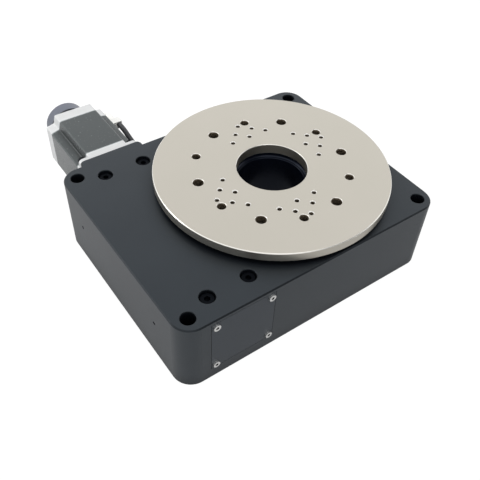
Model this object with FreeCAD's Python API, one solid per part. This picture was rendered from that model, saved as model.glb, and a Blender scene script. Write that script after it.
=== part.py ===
import FreeCAD, Part
import math
import os
from FreeCAD import Placement, Rotation, Vector

# Motorized rotary stage: a worm driven table on a crossed roller bearing.
# The origin is on the table's axis, in the plane that the housing stands on.
# +X points to the end under the table, +Y to the motor and +Z up. Millimetres.

# Housing
housing_length = 250.0
housing_width = 200.0
housing_height = 68.0
axis_to_table_end = 100.0
housing_corner_radius = 16.0
housing_edge_chamfer = 1.0
front_wall = 10.0
back_wall = 8.0
pad_side_margin = 1.0
pad_reach = 6.5
pad_corner_radius = 4.0

# Holes that fasten the stage down
base_hole_inset = 12.5
base_hole_diameter = 7.0
base_counterbore_diameter = 11.5
base_counterbore_depth = 40.0

# Table
table_diameter = 200.0
table_thickness = 8.3
table_gap = 4.2
table_bore = 60.0
table_pad_margin = 3.0
table_pad_drop = 0.7
table_edge_chamfer = 0.6
table_rest_turn = -44.5
table_ring_diameter = 130.0
table_ring_count = 12
large_hole_diameter = 9.0
medium_hole_diameter = 7.5
hole_chamfer = 0.4
grid_pitch = 12.5
grid_hole_diameter = 4.2
grid_columns_and_rows = [(1, 4), (2, 4), (3, 4), (2, 3), (3, 3), (3, 2)]

# Spindle
aperture = 58.0
sleeve_wall = 2.0
sleeve_end_gap = 0.4
recess_margin = 1.5
recess_depth = 5.0
recess_corner = 1.0
spindle_flange_overlap = 6.0
table_screw_inset = 12.0
wheel_screw_inset = 8.0
hub_screw_count = 6
hub_screw_sink = 12.0
wheel_screw_grip = 10.0
table_screw_cover = 3.0

# Crossed roller bearing
bearing_bore = 100.0
bearing_outside = 150.0
bearing_width = 13.0
bearing_ring_gap = 0.8
roller_diameter = 7.0
roller_count = 24
roller_clearance = 0.1
bearing_shoulder = 4.5
bearing_shoulder_reach = 7.0
bearing_wall = 3.0
clamp_ring_thickness = 3.0
clamp_ring_grip = 4.0
clamp_ring_overlap = 11.0
clamp_screw_count = 8

# Worm wheel
gear_module = 2.0
wheel_teeth = 90
wheel_width = 16.0
pressure_angle = 20.0
flank_clearance = 0.22
throat_depth = 1.2
wheel_room_gap = 1.6
wheel_rim_depth = 7.5
wheel_recess_low = 4.0
wheel_recess_high = 3.0
wheel_hub_margin = 2.0
wheel_boss_width = 8.0
wheel_boss_slope = 4.0
wheel_screw_depth = 6.0

# Worm
worm_pitch_diameter = 16.0
worm_thread_length = 44.0
worm_axis_depth = 30.0
worm_collar_rise = 1.5
worm_runout = 3.0
worm_room_gap = 1.5

# Ball bearings of the worm
worm_bearing_bore = 10.0
worm_bearing_outside = 26.0
worm_bearing_width = 8.0
worm_bearing_front_y = -66.0
worm_bearing_rear_y = 50.0
shield_reach = 0.12
preload_ring_width = 7.0
preload_ring_margin = 2.0
preload_ring_grip = 3.0
spanner_hole_diameter = 1.8
spanner_hole_depth = 4.0
lock_nut_width = 6.0
lock_nut_wall = 4.0
lock_nut_slot = 2.4
worm_front_end = 8.0
circlip_width = 1.2
circlip_reach = 1.6
circlip_opening = 8.0

# Carrier of the worm
carrier_width = 52.0
carrier_above_axis = 18.0
carrier_below_axis = 20.0
carrier_end_gap = 1.0
carrier_side_gap = 2.5
carrier_wheel_gap = 0.4
carrier_screw_side_inset = 8.0
carrier_screw_end_inset = 21.2
carrier_screw_diameter = 6.0
carrier_screw_head = 10.3
carrier_screw_head_height = 6.0
carrier_screw_counterbore = 12.5
carrier_screw_sink = 2.4
carrier_screw_grip = 9.0
carrier_screw_play = 0.3
coupling_room_gap = 1.5

# Set screws that push the carrier towards the wheel
set_screw_end_inset = 40.6
set_screw_depth = 28.0
set_screw_diameter = 3.0
set_screw_length = 19.0
set_screw_key = 1.5

# Access cover over the end of the worm
cover_width = 56.0
cover_height = 53.0
cover_thickness = 4.0
cover_seam = 0.3
cover_screw_inset = 3.9
cover_window = 34.0

# Bottom cover
bottom_cover_thickness = 3.0
bottom_cover_rim = 4.0
bottom_cover_left_rim = 9.0
bottom_cover_left_cut = 20.0
bottom_cover_right_cut = 28.0
bottom_cover_bore_margin = 0.5
bottom_screw_margin = 6.5
bottom_screw_spacing = 55.0

# Small screws, 3 mm
small_screw_diameter = 3.0
small_screw_grip = 6.0
small_screw_play = 0.2
countersunk_head_diameter = 5.6
countersink_diameter = 6.2
button_head_diameter = 5.8
button_head_height = 1.6
cap_head_diameter = 5.5
cap_head_height = 2.5

# Screws of table and wheel, 5 mm
hub_screw_diameter = 5.0
hub_screw_head = 8.5
hub_screw_head_height = 5.0
hub_screw_play = 0.5

# Stepper motor of 57 mm frame
motor_side = 56.4
motor_length = 77.0
motor_front_thickness = 9.0
motor_ear_thickness = 4.6
motor_ear_radius = 4.0
motor_rear_thickness = 11.5
motor_flat = 36.6
motor_notch = 8.0
motor_edge_radius = 1.6
motor_bolt_spacing = 47.14
motor_bolt_diameter = 4.0
motor_bolt_length = 12.0
motor_bolt_head = 6.8
motor_bolt_head_height = 4.0
motor_bolt_play = 0.25
motor_pilot_diameter = 38.1
motor_pilot_depth = 1.6
motor_tie_margin = 1.9
motor_tie_diameter = 2.5
motor_tie_head = 4.8
motor_tie_head_height = 2.4
motor_tie_play = 0.2
motor_tie_cover = 2.0
motor_shaft_diameter = 8.0
motor_shaft_front = 22.5
motor_shaft_flat = 0.5
motor_shaft_flat_length = 9.0
motor_bearing_outside = 22.0
motor_bearing_width = 7.0
rotor_diameter = 34.2
rotor_gap = 0.4
winding_length = 8.0
winding_gap = 1.0
winding_wall = 0.6

# Hand knob
knob_diameter = 39.4
knob_width = 13.5
knob_gap = 14.0
knob_wall = 4.0
knob_rim = 3.0
knob_step = 2.5
knob_hub_diameter = 24.0
knob_hub_gap = 2.0
knob_screw_diameter = 4.0
knob_screw_place = 7.0
knob_screw_sink = 0.5

# Coupling
coupling_diameter = 25.0
coupling_length = 30.0
coupling_jaw_length = 9.0
coupling_claws = 3
coupling_claw_angle = 44.0
coupling_claw_bore = 12.0
coupling_slot = 1.2
coupling_gap = 0.3
spider_bore = 9.0
spider_gap_angle = 2.0
worm_shaft_grip = 10.0

# Motor connector, plug and lead, on the +X side of the motor
connector_from_end = 15.5
connector_from_top = 15.0
connector_depth = 6.4
connector_width = 12.0
connector_height = 8.0
connector_wall = 1.2
connector_floor = 3.0
plug_length = 8.0
plug_depth = 10.4
plug_margin = 0.4
plug_nose_gap = 0.3
cable_diameter = 5.0
cable_from_side = 7.3
cable_from_top = 3.0
cable_straight = 9.0

# Grommet where the lead enters the housing
cable_hole_from_pad = 11.8
cable_hole_drop = 8.0
cable_hole_diameter = 9.0
grommet_flange_margin = 2.0
grommet_face = 3.0
grommet_squeeze = 0.4

# Control socket
socket_x = -32.0
socket_width = 31.0
socket_height = 12.6
socket_flange = 1.0
socket_cut_width = 20.0
socket_cut_height = 10.6
socket_cut_depth = 20.0
socket_body_depth = 6.0
socket_screw_spacing = 25.0
socket_post_height = 4.5
socket_shell_half_width = 8.5
socket_shell_half_height = 4.3
socket_shell_wall = 0.65
socket_shell_length = 5.0
socket_shell_lean = 1.2
socket_pin_pitch = 2.77
socket_pin_rise = 1.4
socket_pin_diameter = 1.0
socket_pin_length = 4.0
socket_pins_in_rows = (5, 4)

# Home sensor and its flag
sensor_plate_thickness = 2.4
sensor_plate_width = 18.0
sensor_plate_end = 8.0
sensor_screw_offsets = (-6.0, 12.0)
sensor_screw_margin = 6.0
sensor_body_length = 10.0
sensor_body_width = 16.0
sensor_slot_width = 3.2
sensor_slot_floor = 2.5
flag_turn = -70.0
flag_width = 10.0
flag_thickness = 1.0
flag_foot_thickness = 1.5
flag_foot_length = 9.0
flag_screw_from_blade = 5.0
flag_drop = 8.0

# Fits
fit = 0.02
sliding_gap = 0.3
past = 1.0

# Planes of the housing
housing_x_high = axis_to_table_end
housing_x_low = axis_to_table_end - housing_length
housing_mid_x = (housing_x_high + housing_x_low) / 2
front_y = -housing_width / 2
back_y = housing_width / 2
room_y_low = front_y + front_wall
room_y_high = back_y - back_wall

# Heights of table, spindle and bearing
table_underside = housing_height + table_gap
table_top = table_underside + table_thickness
spindle_top = table_underside - table_pad_drop
bearing_high = housing_height - clamp_ring_thickness
bearing_low = bearing_high - bearing_width
bearing_middle = (bearing_low + bearing_high) / 2
room_top = bearing_low - bearing_shoulder

# Radii of spindle, bearing and rings
sleeve_radius = aperture / 2 + sleeve_wall
spindle_flange_radius = bearing_bore / 2 + spindle_flange_overlap
table_pad_radius = spindle_flange_radius + table_pad_margin
roller_circle_radius = (bearing_bore + bearing_outside) / 4
clamp_ring_radius = bearing_outside / 2 + clamp_ring_overlap
clamp_screw_ring = bearing_outside / 2 + clamp_ring_radius
table_screw_ring = bearing_bore - 2 * table_screw_inset
wheel_screw_ring = bearing_bore - 2 * wheel_screw_inset

# Worm and wheel in mesh
wheel_pitch_radius = gear_module * wheel_teeth / 2
wheel_tip = wheel_pitch_radius + gear_module
wheel_root = wheel_pitch_radius - 1.25 * gear_module
wheel_outer = wheel_tip + throat_depth
wheel_room = wheel_outer + wheel_room_gap
wheel_rim_inner = wheel_root - wheel_rim_depth
wheel_hub_radius = bearing_bore / 2 + wheel_hub_margin
worm_pitch_radius = worm_pitch_diameter / 2
worm_tip = worm_pitch_radius + gear_module
worm_root = worm_pitch_radius - 1.25 * gear_module
worm_lead = math.pi * gear_module
worm_x = -(wheel_pitch_radius + worm_pitch_radius)
worm_z = housing_height - worm_axis_depth
wheel_low = worm_z - wheel_width / 2
wheel_high = worm_z + wheel_width / 2
wheel_web_low = wheel_low + wheel_recess_low

# Carrier and worm room
carrier_low = worm_z - carrier_below_axis
carrier_high = worm_z + carrier_above_axis
carrier_front = room_y_low + carrier_end_gap
carrier_back = room_y_high - carrier_end_gap
carrier_screw_spacing_x = carrier_width - 2 * carrier_screw_side_inset
carrier_screw_spacing_y = housing_width - 2 * carrier_screw_end_inset
carrier_screw_seat = housing_height - carrier_screw_sink - carrier_screw_head_height
front_bearing_end = worm_bearing_front_y + worm_bearing_width
rear_bearing_end = worm_bearing_rear_y + worm_bearing_width
preload_ring_radius = worm_bearing_outside / 2 + preload_ring_margin
pad_half = motor_side / 2 + pad_side_margin
cable_hole_x = worm_x + pad_half + cable_hole_from_pad
cable_hole_z = worm_z - cable_hole_drop
room_x_low = worm_x - carrier_width / 2 - carrier_side_gap
room_x_high = cable_hole_x + cable_hole_diameter

# Motor, coupling and knob along the worm's axis
motor_face_y = back_y + pad_reach
motor_back_y = motor_face_y + motor_length
front_bell_end = motor_face_y + motor_front_thickness
rear_bell_start = motor_back_y - motor_rear_thickness
front_seat_start = front_bell_end - motor_bearing_width
rear_seat_end = rear_bell_start + motor_bearing_width
motor_shaft_tip = motor_face_y - motor_shaft_front
coupling_hub_length = (coupling_length - coupling_jaw_length) / 2
coupling_end = motor_shaft_tip + coupling_hub_length
coupling_start = coupling_end - coupling_length
motor_tie_spacing = motor_side - 2 * motor_notch - 2 * motor_tie_margin
winding_radius = motor_tie_spacing / math.sqrt(2) - motor_tie_diameter / 2 - winding_wall
knob_start = motor_back_y + knob_gap
knob_end = knob_start + knob_width

# Connector, lead and sensor
connector_x = worm_x + motor_side / 2
connector_y = motor_back_y - connector_from_end
connector_top = housing_height - connector_from_top
flag_radius = (wheel_hub_radius + wheel_rim_inner) / 2
flag_screw_radius = flag_radius - flag_screw_from_blade
cable_exit = Vector(connector_x + cable_from_side, connector_y - plug_length, connector_top - cable_from_top)
cable_end = Vector(cable_hole_x, back_y + grommet_face, cable_hole_z)
cable_route = [
    cable_exit,
    cable_exit + Vector(0, -cable_straight, 0),
    cable_exit + Vector(0.5, -20.0, -5.0),
    cable_exit + Vector(3.2, -33.0, -12.2),
    cable_end + Vector(0, cable_straight + 1, 0),
    cable_end,
]


def block(x_low, x_high, y_low, y_high, z_low, z_high):
    size = (x_high - x_low, y_high - y_low, z_high - z_low)
    return Part.makeBox(*size, Vector(x_low, y_low, z_low))


def block_on(x, y_low, y_high, z, width, height):
    """A block centred on x and z, from y_low to y_high."""
    return block(x - width / 2, x + width / 2, y_low, y_high, z - height / 2, z + height / 2)


def post(radius, z_low, z_high, x=0.0, y=0.0):
    return Part.makeCylinder(radius, z_high - z_low, Vector(x, y, z_low))


def rod(radius, y_low, y_high, x=worm_x, z=worm_z):
    return Part.makeCylinder(radius, y_high - y_low, Vector(x, y_low, z), Vector(0, 1, 0))


def tube_on_worm(outer, inner, y_low, y_high):
    return rod(outer, y_low, y_high).cut(rod(inner, y_low - past, y_high + past))


def face_of(points):
    return Part.Face(Part.makePolygon(points + [points[0]]))


def turned(profile):
    """A solid turned about the table's axis from (radius, height) points."""
    outline = [Vector(radius, 0, height) for radius, height in profile]
    return face_of(outline).revolve(Vector(0, 0, 0), Vector(0, 0, 1), 360)


def turned_on_worm(profile):
    """A solid turned about the worm's axis from (radius, y) points."""
    outline = [Vector(worm_x + radius, y, worm_z) for radius, y in profile]
    return face_of(outline).revolve(Vector(worm_x, 0, worm_z), Vector(0, 1, 0), 360)


def rounded_plate(x_low, x_high, y_low, y_high, z_low, z_high, radius):
    plate = block(x_low, x_high, y_low, y_high, z_low, z_high)
    upright = [edge for edge in plate.Edges if abs(edge.BoundBox.ZLength - (z_high - z_low)) < 1e-6]
    return plate.makeFillet(radius, upright)


def level_edges(shape, height):
    """The edges of a shape that lie in the plane at a height."""
    return [
        edge
        for edge in shape.Edges
        if abs(edge.BoundBox.ZMin - height) < 1e-6 and abs(edge.BoundBox.ZMax - height) < 1e-6
    ]


def copies_round(shape, count, centre=Vector(0, 0, 0), axis=Vector(0, 0, 1), first=0.0):
    """Copies of a shape, evenly turned about an axis."""
    result = []
    for index in range(count):
        copy = shape.copy()
        copy.rotate(centre, axis, first + index * 360.0 / count)
        result.append(copy)
    return result


def copies_round_worm(shape, count):
    return copies_round(shape, count, Vector(worm_x, 0, worm_z), Vector(0, 1, 0))


def corners(spacing_a, spacing_b):
    return [(a * spacing_a / 2, b * spacing_b / 2) for a in (-1, 1) for b in (-1, 1)]


def corners_on_worm(spacing_x, spacing_z):
    return [(worm_x + x, worm_z + z) for x, z in corners(spacing_x, spacing_z)]


def on_ring(diameter, degrees):
    angle = math.radians(degrees)
    return diameter / 2 * math.cos(angle), diameter / 2 * math.sin(angle)


def ring_places(diameter, count, first=0.0):
    return [on_ring(diameter, first + index * 360.0 / count) for index in range(count)]


def table_screw_places():
    return ring_places(table_screw_ring, hub_screw_count, table_rest_turn)


def wheel_screw_places():
    return ring_places(wheel_screw_ring, hub_screw_count, table_rest_turn + 180.0 / hub_screw_count)


def group(shapes):
    return Part.makeCompound(shapes)


def toward(shape, direction, at):
    """A shape made along +Z, turned so that +Z points along direction, and moved."""
    moved = shape.copy()
    turn = Placement(at, Rotation(Vector(0, 0, 1), direction))
    moved.Placement = turn.multiply(moved.Placement)
    return moved


def socket_screw(diameter, length, head_diameter, head_height, direction, at):
    """A screw with a hexagon socket: its head stands on the point at, along direction."""
    head = Part.makeCylinder(head_diameter / 2, head_height)
    hexagon = [Vector(*on_ring(head_diameter / 2, 60 * side), head_height / 2) for side in range(6)]
    socket = face_of(hexagon).extrude(Vector(0, 0, head_height))
    shank = Part.makeCylinder(diameter / 2, length, Vector(0, 0, -length))
    return toward(head.cut(socket).fuse(shank).removeSplitter(), direction, at)


def flush_screw(length, direction, at):
    """A small countersunk screw whose head is flush with the point at."""
    shank_radius = small_screw_diameter / 2
    head_radius = countersunk_head_diameter / 2
    depth = head_radius - shank_radius
    head = Part.makeCone(shank_radius, head_radius, depth, Vector(0, 0, -depth))
    shank = Part.makeCylinder(shank_radius, length, Vector(0, 0, -length))
    return toward(head.fuse(shank).removeSplitter(), direction, at)


def countersunk_hole(thickness, direction, at):
    """The cut for a small countersunk screw, through a plate below the point at."""
    radius = small_screw_diameter / 2 + small_screw_play
    wide = countersink_diameter / 2
    cone = Part.makeCone(radius, wide, wide - radius, Vector(0, 0, radius - wide))
    hole = Part.makeCylinder(radius, thickness + past, Vector(0, 0, -thickness - past))
    return toward(cone.fuse(hole), direction, at)


def opened_hole(radius, low, high, chamfer):
    """The cut for an upright hole whose top edge, at high, is broken by a chamfer."""
    hole = Part.makeCylinder(radius, high - low + past, Vector(0, 0, low))
    cone = Part.makeCone(radius, radius + chamfer + past, chamfer + past, Vector(0, 0, high - chamfer))
    return hole.fuse(cone)


def at_place(shape, x, y):
    moved = shape.copy()
    moved.translate(Vector(x, y, 0))
    return moved


def bottom_cover_outline(low, high, gap=0.0):
    left = housing_x_low + bottom_cover_left_rim + gap
    right = housing_x_high - bottom_cover_rim - gap
    side = housing_width / 2 - bottom_cover_rim - gap
    near = bottom_cover_left_cut
    far = bottom_cover_right_cut
    half = [(left, side - near), (left + near, side), (right - far, side), (right, side - far)]
    points = [Vector(x, y, low) for x, y in half] + [Vector(x, -y, low) for x, y in reversed(half)]
    return face_of(points).extrude(Vector(0, 0, high - low))


def bottom_screw_places():
    """Four places round the wheel's room and three along the left wall."""
    ring = wheel_room + bottom_screw_margin
    diagonal = ring / math.sqrt(2)
    beside_room = room_x_high + bottom_screw_margin
    beside_y = math.sqrt(ring ** 2 - beside_room ** 2) - small_screw_diameter / 2
    left = housing_x_low + bottom_cover_left_rim + bottom_screw_margin
    pairs = [(diagonal, diagonal), (beside_room, beside_y), (left, bottom_screw_spacing)]
    return [(x, side * y) for x, y in pairs for side in (-1, 1)] + [(left, 0.0)]


def housing_block():
    body = rounded_plate(
        housing_x_low, housing_x_high, front_y, back_y, 0, housing_height, housing_corner_radius
    )
    pad = rounded_plate(
        worm_x - pad_half,
        worm_x + pad_half,
        back_y - 2 * housing_corner_radius,
        motor_face_y,
        worm_z - pad_half,
        housing_height,
        pad_corner_radius,
    )
    body = body.fuse(pad).removeSplitter()
    body = body.makeChamfer(housing_edge_chamfer, level_edges(body, housing_height))
    return body.makeChamfer(housing_edge_chamfer / 2, level_edges(body, 0.0))


def housing_rooms():
    """The cuts for wheel, worm, bearing, coupling, covers and sockets."""
    worm_room = block(room_x_low, room_x_high, room_y_low, room_y_high, -past, carrier_high)
    bearing_block = post(bearing_outside / 2 + bearing_wall, room_top, carrier_high + past)
    pilot_end = motor_face_y - motor_pilot_depth - sliding_gap
    cover = (cover_width + 2 * cover_seam, cover_height + 2 * cover_seam)
    return [
        post(wheel_room, -past, room_top),
        worm_room.cut(bearing_block),
        bottom_cover_outline(-past, bottom_cover_thickness),
        post(bearing_outside / 2 - bearing_shoulder_reach, room_top - past, housing_height),
        post(bearing_outside / 2 + fit, bearing_low, housing_height),
        post(clamp_ring_radius + sliding_gap, bearing_high, housing_height + past),
        rod(motor_pilot_diameter / 2 + fit, pilot_end, motor_face_y + past),
        rod(coupling_diameter / 2 + coupling_room_gap, room_y_high - past, motor_face_y),
        rod(cover_window / 2, front_y - past, room_y_low + past),
        block_on(worm_x, front_y - past, front_y + cover_thickness, worm_z, *cover),
        rod(cable_hole_diameter / 2 + fit, room_y_high - past, back_y + past, cable_hole_x, cable_hole_z),
        block_on(
            socket_x, back_y - socket_cut_depth, back_y + past, worm_z, socket_cut_width, socket_cut_height
        ),
    ]


def housing_top_holes():
    """Counterbored holes that fasten the stage down and hold the carrier."""
    floor = housing_height - base_counterbore_depth
    base_hole = post(base_hole_diameter / 2, -past, housing_height)
    counterbore = opened_hole(base_counterbore_diameter / 2, floor, housing_height, hole_chamfer)
    base_hole = base_hole.fuse(counterbore)
    spacing = (housing_length - 2 * base_hole_inset, housing_width - 2 * base_hole_inset)
    cuts = [at_place(base_hole, housing_mid_x + x, y) for x, y in corners(*spacing)]
    shank = post(carrier_screw_diameter / 2 + carrier_screw_play, carrier_high - past, housing_height)
    head = opened_hole(carrier_screw_counterbore / 2, carrier_screw_seat, housing_height, hole_chamfer)
    carrier_hole = shank.fuse(head)
    for x, y in corners(carrier_screw_spacing_x, carrier_screw_spacing_y):
        cuts.append(at_place(carrier_hole, worm_x + x, y))
    return cuts


def housing_screw_holes():
    """Tapped holes for covers, motor, clamp ring, control socket and set screws."""
    small = small_screw_diameter / 2 + fit
    cuts = [
        post(small, 0, bottom_cover_thickness + small_screw_grip + past, x, y)
        for x, y in bottom_screw_places()
    ]
    depth = cover_thickness + small_screw_grip
    for x, z in cover_screw_places():
        cuts.append(rod(small, front_y, front_y + depth - sliding_gap, x, z))
    for x, z in corners_on_worm(motor_bolt_spacing, motor_bolt_spacing):
        start = motor_face_y - motor_bolt_length + past
        cuts.append(rod(motor_bolt_diameter / 2 + fit, start, motor_face_y + past, x, z))
    for x in socket_screw_xs():
        cuts.append(rod(small, back_y - small_screw_grip, back_y + past, x, worm_z))
    for y, z in set_screw_places():
        reach = room_x_low - housing_x_low + 2 * past
        start = Vector(housing_x_low - past, y, z)
        cuts.append(Part.makeCylinder(set_screw_diameter / 2 + fit, reach, start, Vector(1, 0, 0)))
    low = bearing_high - small_screw_grip - past
    for x, y in clamp_screw_places():
        cuts.append(post(small, low, bearing_high + past, x, y))
    return cuts


def make_housing():
    cuts = housing_rooms() + housing_top_holes() + housing_screw_holes()
    return housing_block().cut(group(cuts)).removeSplitter()


def make_bottom_cover():
    cover = bottom_cover_outline(0, bottom_cover_thickness, sliding_gap)
    bore = aperture / 2 + bottom_cover_bore_margin
    cuts = [post(bore, -past, bottom_cover_thickness + past)]
    for x, y in bottom_screw_places():
        cuts.append(countersunk_hole(bottom_cover_thickness, Vector(0, 0, -1), Vector(x, y, 0)))
    return cover.cut(group(cuts))


def make_bottom_cover_screws():
    length = bottom_cover_thickness + small_screw_grip
    return group(
        [flush_screw(length, Vector(0, 0, -1), Vector(x, y, fit)) for x, y in bottom_screw_places()]
    )


def cover_screw_places():
    return corners_on_worm(cover_width - 2 * cover_screw_inset, cover_height - 2 * cover_screw_inset)


def make_access_cover():
    back = front_y + cover_thickness - fit
    cover = block_on(worm_x, front_y, back, worm_z, cover_width, cover_height)
    radius = small_screw_diameter / 2 + small_screw_play
    holes = [rod(radius, front_y - past, back + past, x, z) for x, z in cover_screw_places()]
    return cover.cut(group(holes))


def make_access_cover_screws():
    length = cover_thickness + small_screw_grip - past
    return group(
        [
            socket_screw(
                small_screw_diameter,
                length,
                button_head_diameter,
                button_head_height,
                Vector(0, -1, 0),
                Vector(x, front_y, z),
            )
            for x, z in cover_screw_places()
        ]
    )


def set_screw_places():
    y = housing_width / 2 - set_screw_end_inset
    z = housing_height - set_screw_depth
    return [(y, z), (-y, z)]


def make_set_screws():
    result = []
    for y, z in set_screw_places():
        start = Vector(worm_x - carrier_width / 2 - set_screw_length, y, z)
        screw = Part.makeCylinder(set_screw_diameter / 2, set_screw_length, start, Vector(1, 0, 0))
        key = Part.makeCylinder(set_screw_key / 2, set_screw_diameter, start, Vector(1, 0, 0))
        result.append(screw.cut(key))
    return group(result)


def table_disc():
    half = table_diameter / 2
    edge = table_edge_chamfer
    return turned(
        [
            (table_bore / 2 + hole_chamfer, table_top),
            (half - edge, table_top),
            (half, table_top - edge),
            (half, table_underside + edge),
            (half - edge, table_underside),
            (table_pad_radius, table_underside),
            (table_pad_radius, spindle_top),
            (table_bore / 2, spindle_top),
            (table_bore / 2, table_top - hole_chamfer),
        ]
    )


def make_table():
    low = spindle_top - past
    cuts = []
    for index in range(table_ring_count):
        diameter = medium_hole_diameter if index % 2 == 0 else large_hole_diameter
        hole = opened_hole(diameter / 2, low, table_top, hole_chamfer)
        cuts.append(at_place(hole, *on_ring(table_ring_diameter, index * 360.0 / table_ring_count)))
    grid_hole = opened_hole(grid_hole_diameter / 2, low, table_top, hole_chamfer)
    for column, row in grid_columns_and_rows:
        for x, y in corners(2 * column * grid_pitch, 2 * row * grid_pitch):
            cuts.append(at_place(grid_hole, x, y))
    for x, y in ring_places(table_screw_ring, hub_screw_count):
        cuts.append(post(hub_screw_diameter / 2 + fit, low, table_top - table_screw_cover + past, x, y))
    table = table_disc().cut(group(cuts))
    table.rotate(Vector(0, 0, 0), Vector(0, 0, 1), table_rest_turn)
    return table


def spindle_body():
    inner = aperture / 2
    recess = table_bore / 2 + recess_margin
    recess_floor = spindle_top - recess_depth
    journal = bearing_bore / 2 - fit
    return turned(
        [
            (inner, bottom_cover_thickness + sleeve_end_gap),
            (sleeve_radius, bottom_cover_thickness + sleeve_end_gap),
            (sleeve_radius, wheel_high),
            (journal, wheel_high),
            (journal, bearing_high),
            (spindle_flange_radius, bearing_high),
            (spindle_flange_radius, spindle_top),
            (recess, spindle_top),
            (recess, recess_floor + recess_corner),
            (recess - recess_corner, recess_floor),
            (inner + hole_chamfer, recess_floor),
            (inner, recess_floor - hole_chamfer),
        ]
    )


def make_spindle():
    seat = wheel_high + hub_screw_sink
    head = (hub_screw_head + hub_screw_play) / 2
    cuts = []
    for x, y in table_screw_places():
        cuts.append(post((hub_screw_diameter + hub_screw_play) / 2, wheel_high, spindle_top + past, x, y))
        cuts.append(post(head, wheel_high - past, seat, x, y))
    for x, y in wheel_screw_places():
        cuts.append(post(hub_screw_diameter / 2 + fit, wheel_high - past, seat, x, y))
    return spindle_body().cut(group(cuts))


def hub_screw(length, seat, x, y):
    down = Vector(0, 0, -1)
    at = Vector(x, y, seat)
    return socket_screw(hub_screw_diameter, length, hub_screw_head, hub_screw_head_height, down, at)


def make_table_screws():
    seat = wheel_high + hub_screw_sink
    length = table_top - table_screw_cover - seat
    return group([hub_screw(length, seat, x, y) for x, y in table_screw_places()])


def make_wheel_screws():
    seat = wheel_low + wheel_screw_depth
    length = wheel_high + wheel_screw_grip - seat
    return group([hub_screw(length, seat, x, y) for x, y in wheel_screw_places()])


def bearing_ring(back, face, groove_bottom):
    """A ring whose V groove holds the rollers: it opens at face and ends at groove_bottom."""
    half_mouth = abs(groove_bottom - face)
    return turned(
        [
            (back, bearing_low),
            (face, bearing_low),
            (face, bearing_middle - half_mouth),
            (groove_bottom, bearing_middle),
            (face, bearing_middle + half_mouth),
            (face, bearing_high),
            (back, bearing_high),
        ]
    )


def groove_depth():
    return (roller_diameter / 2 + roller_clearance) * math.sqrt(2)


def make_bearing_inner_ring():
    face = roller_circle_radius - bearing_ring_gap / 2
    return bearing_ring(bearing_bore / 2, face, roller_circle_radius - groove_depth())


def make_bearing_outer_ring():
    face = roller_circle_radius + bearing_ring_gap / 2
    return bearing_ring(bearing_outside / 2, face, roller_circle_radius + groove_depth())


def make_bearing_rollers():
    """Rollers that lean 45 degrees one way and the other in turn."""
    length = roller_diameter - 4 * roller_clearance
    radius = roller_diameter / 2 - roller_clearance
    rollers = []
    for lean, first in ((45, 0), (-45, 360.0 / roller_count)):
        roller = Part.makeCylinder(radius, length, Vector(0, 0, -length / 2))
        roller.rotate(Vector(0, 0, 0), Vector(0, 1, 0), lean)
        roller.translate(Vector(roller_circle_radius, 0, bearing_middle))
        rollers += copies_round(roller, roller_count // 2, first=first)
    return group(rollers)


def clamp_screw_places():
    return ring_places(clamp_screw_ring, clamp_screw_count, 180.0 / clamp_screw_count)


def make_clamp_ring():
    inner = bearing_outside / 2 - clamp_ring_grip
    ring = post(clamp_ring_radius, bearing_high, housing_height)
    ring = ring.cut(post(inner, bearing_high - past, housing_height + past))
    up = Vector(0, 0, 1)
    holes = [
        countersunk_hole(clamp_ring_thickness, up, Vector(x, y, housing_height))
        for x, y in clamp_screw_places()
    ]
    return ring.cut(group(holes))


def make_clamp_ring_screws():
    length = clamp_ring_thickness + small_screw_grip
    up = Vector(0, 0, 1)
    return group(
        [flush_screw(length, up, Vector(x, y, housing_height - fit)) for x, y in clamp_screw_places()]
    )


def wheel_blank():
    """The wheel before its teeth are cut: a throated rim, a thinner web and a hub under the bearing."""
    bore = sleeve_radius + sliding_gap
    web_high = wheel_high - wheel_recess_high
    boss = bearing_bore / 2 + wheel_boss_width
    spigot = bearing_bore / 2 + fit
    return turned(
        [
            (bore, wheel_low),
            (wheel_hub_radius, wheel_low),
            (wheel_hub_radius, wheel_web_low),
            (wheel_rim_inner, wheel_web_low),
            (wheel_rim_inner, wheel_low),
            (wheel_outer, wheel_low),
            (wheel_tip, worm_z - wheel_width / 4),
            (wheel_tip, worm_z + wheel_width / 4),
            (wheel_outer, wheel_high),
            (wheel_rim_inner, wheel_high),
            (wheel_rim_inner, web_high),
            (boss + wheel_boss_slope, web_high),
            (boss, wheel_high),
            (boss, bearing_low),
            (spigot, bearing_low),
            (spigot, wheel_high),
            (bore, wheel_high),
        ]
    )


def tooth_space():
    """One tooth space: straight flanks, leaning by the worm's lead angle."""
    slope = math.tan(math.radians(pressure_angle))
    lean = worm_lead / (2 * math.pi * worm_pitch_radius)
    outer = wheel_outer + past
    low = wheel_low - past
    height = wheel_width + 2 * past
    shift = (worm_z - low) * lean
    section = []
    for radius, side in [(wheel_root, 1), (outer, 1), (outer, -1), (wheel_root, -1)]:
        half = worm_lead / 4 + flank_clearance + (radius - wheel_pitch_radius) * slope
        section.append(Vector(-radius, side * half + shift, low))
    return face_of(section).extrude(Vector(0, -height * lean, height))


def make_worm_wheel():
    wheel = wheel_blank().cut(group(copies_round(tooth_space(), wheel_teeth)))
    cuts = []
    for x, y in wheel_screw_places():
        cuts.append(post((hub_screw_diameter + hub_screw_play) / 2, wheel_low, wheel_high + past, x, y))
        head = (hub_screw_head + hub_screw_play) / 2
        cuts.append(post(head, wheel_low - past, wheel_low + wheel_screw_depth, x, y))
    flag_hole_top = wheel_web_low + small_screw_grip
    hole = post(small_screw_diameter / 2 + fit, wheel_web_low - past, flag_hole_top, -flag_screw_radius)
    cuts.append(flag_place(hole))
    return wheel.cut(group(cuts))


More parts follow.
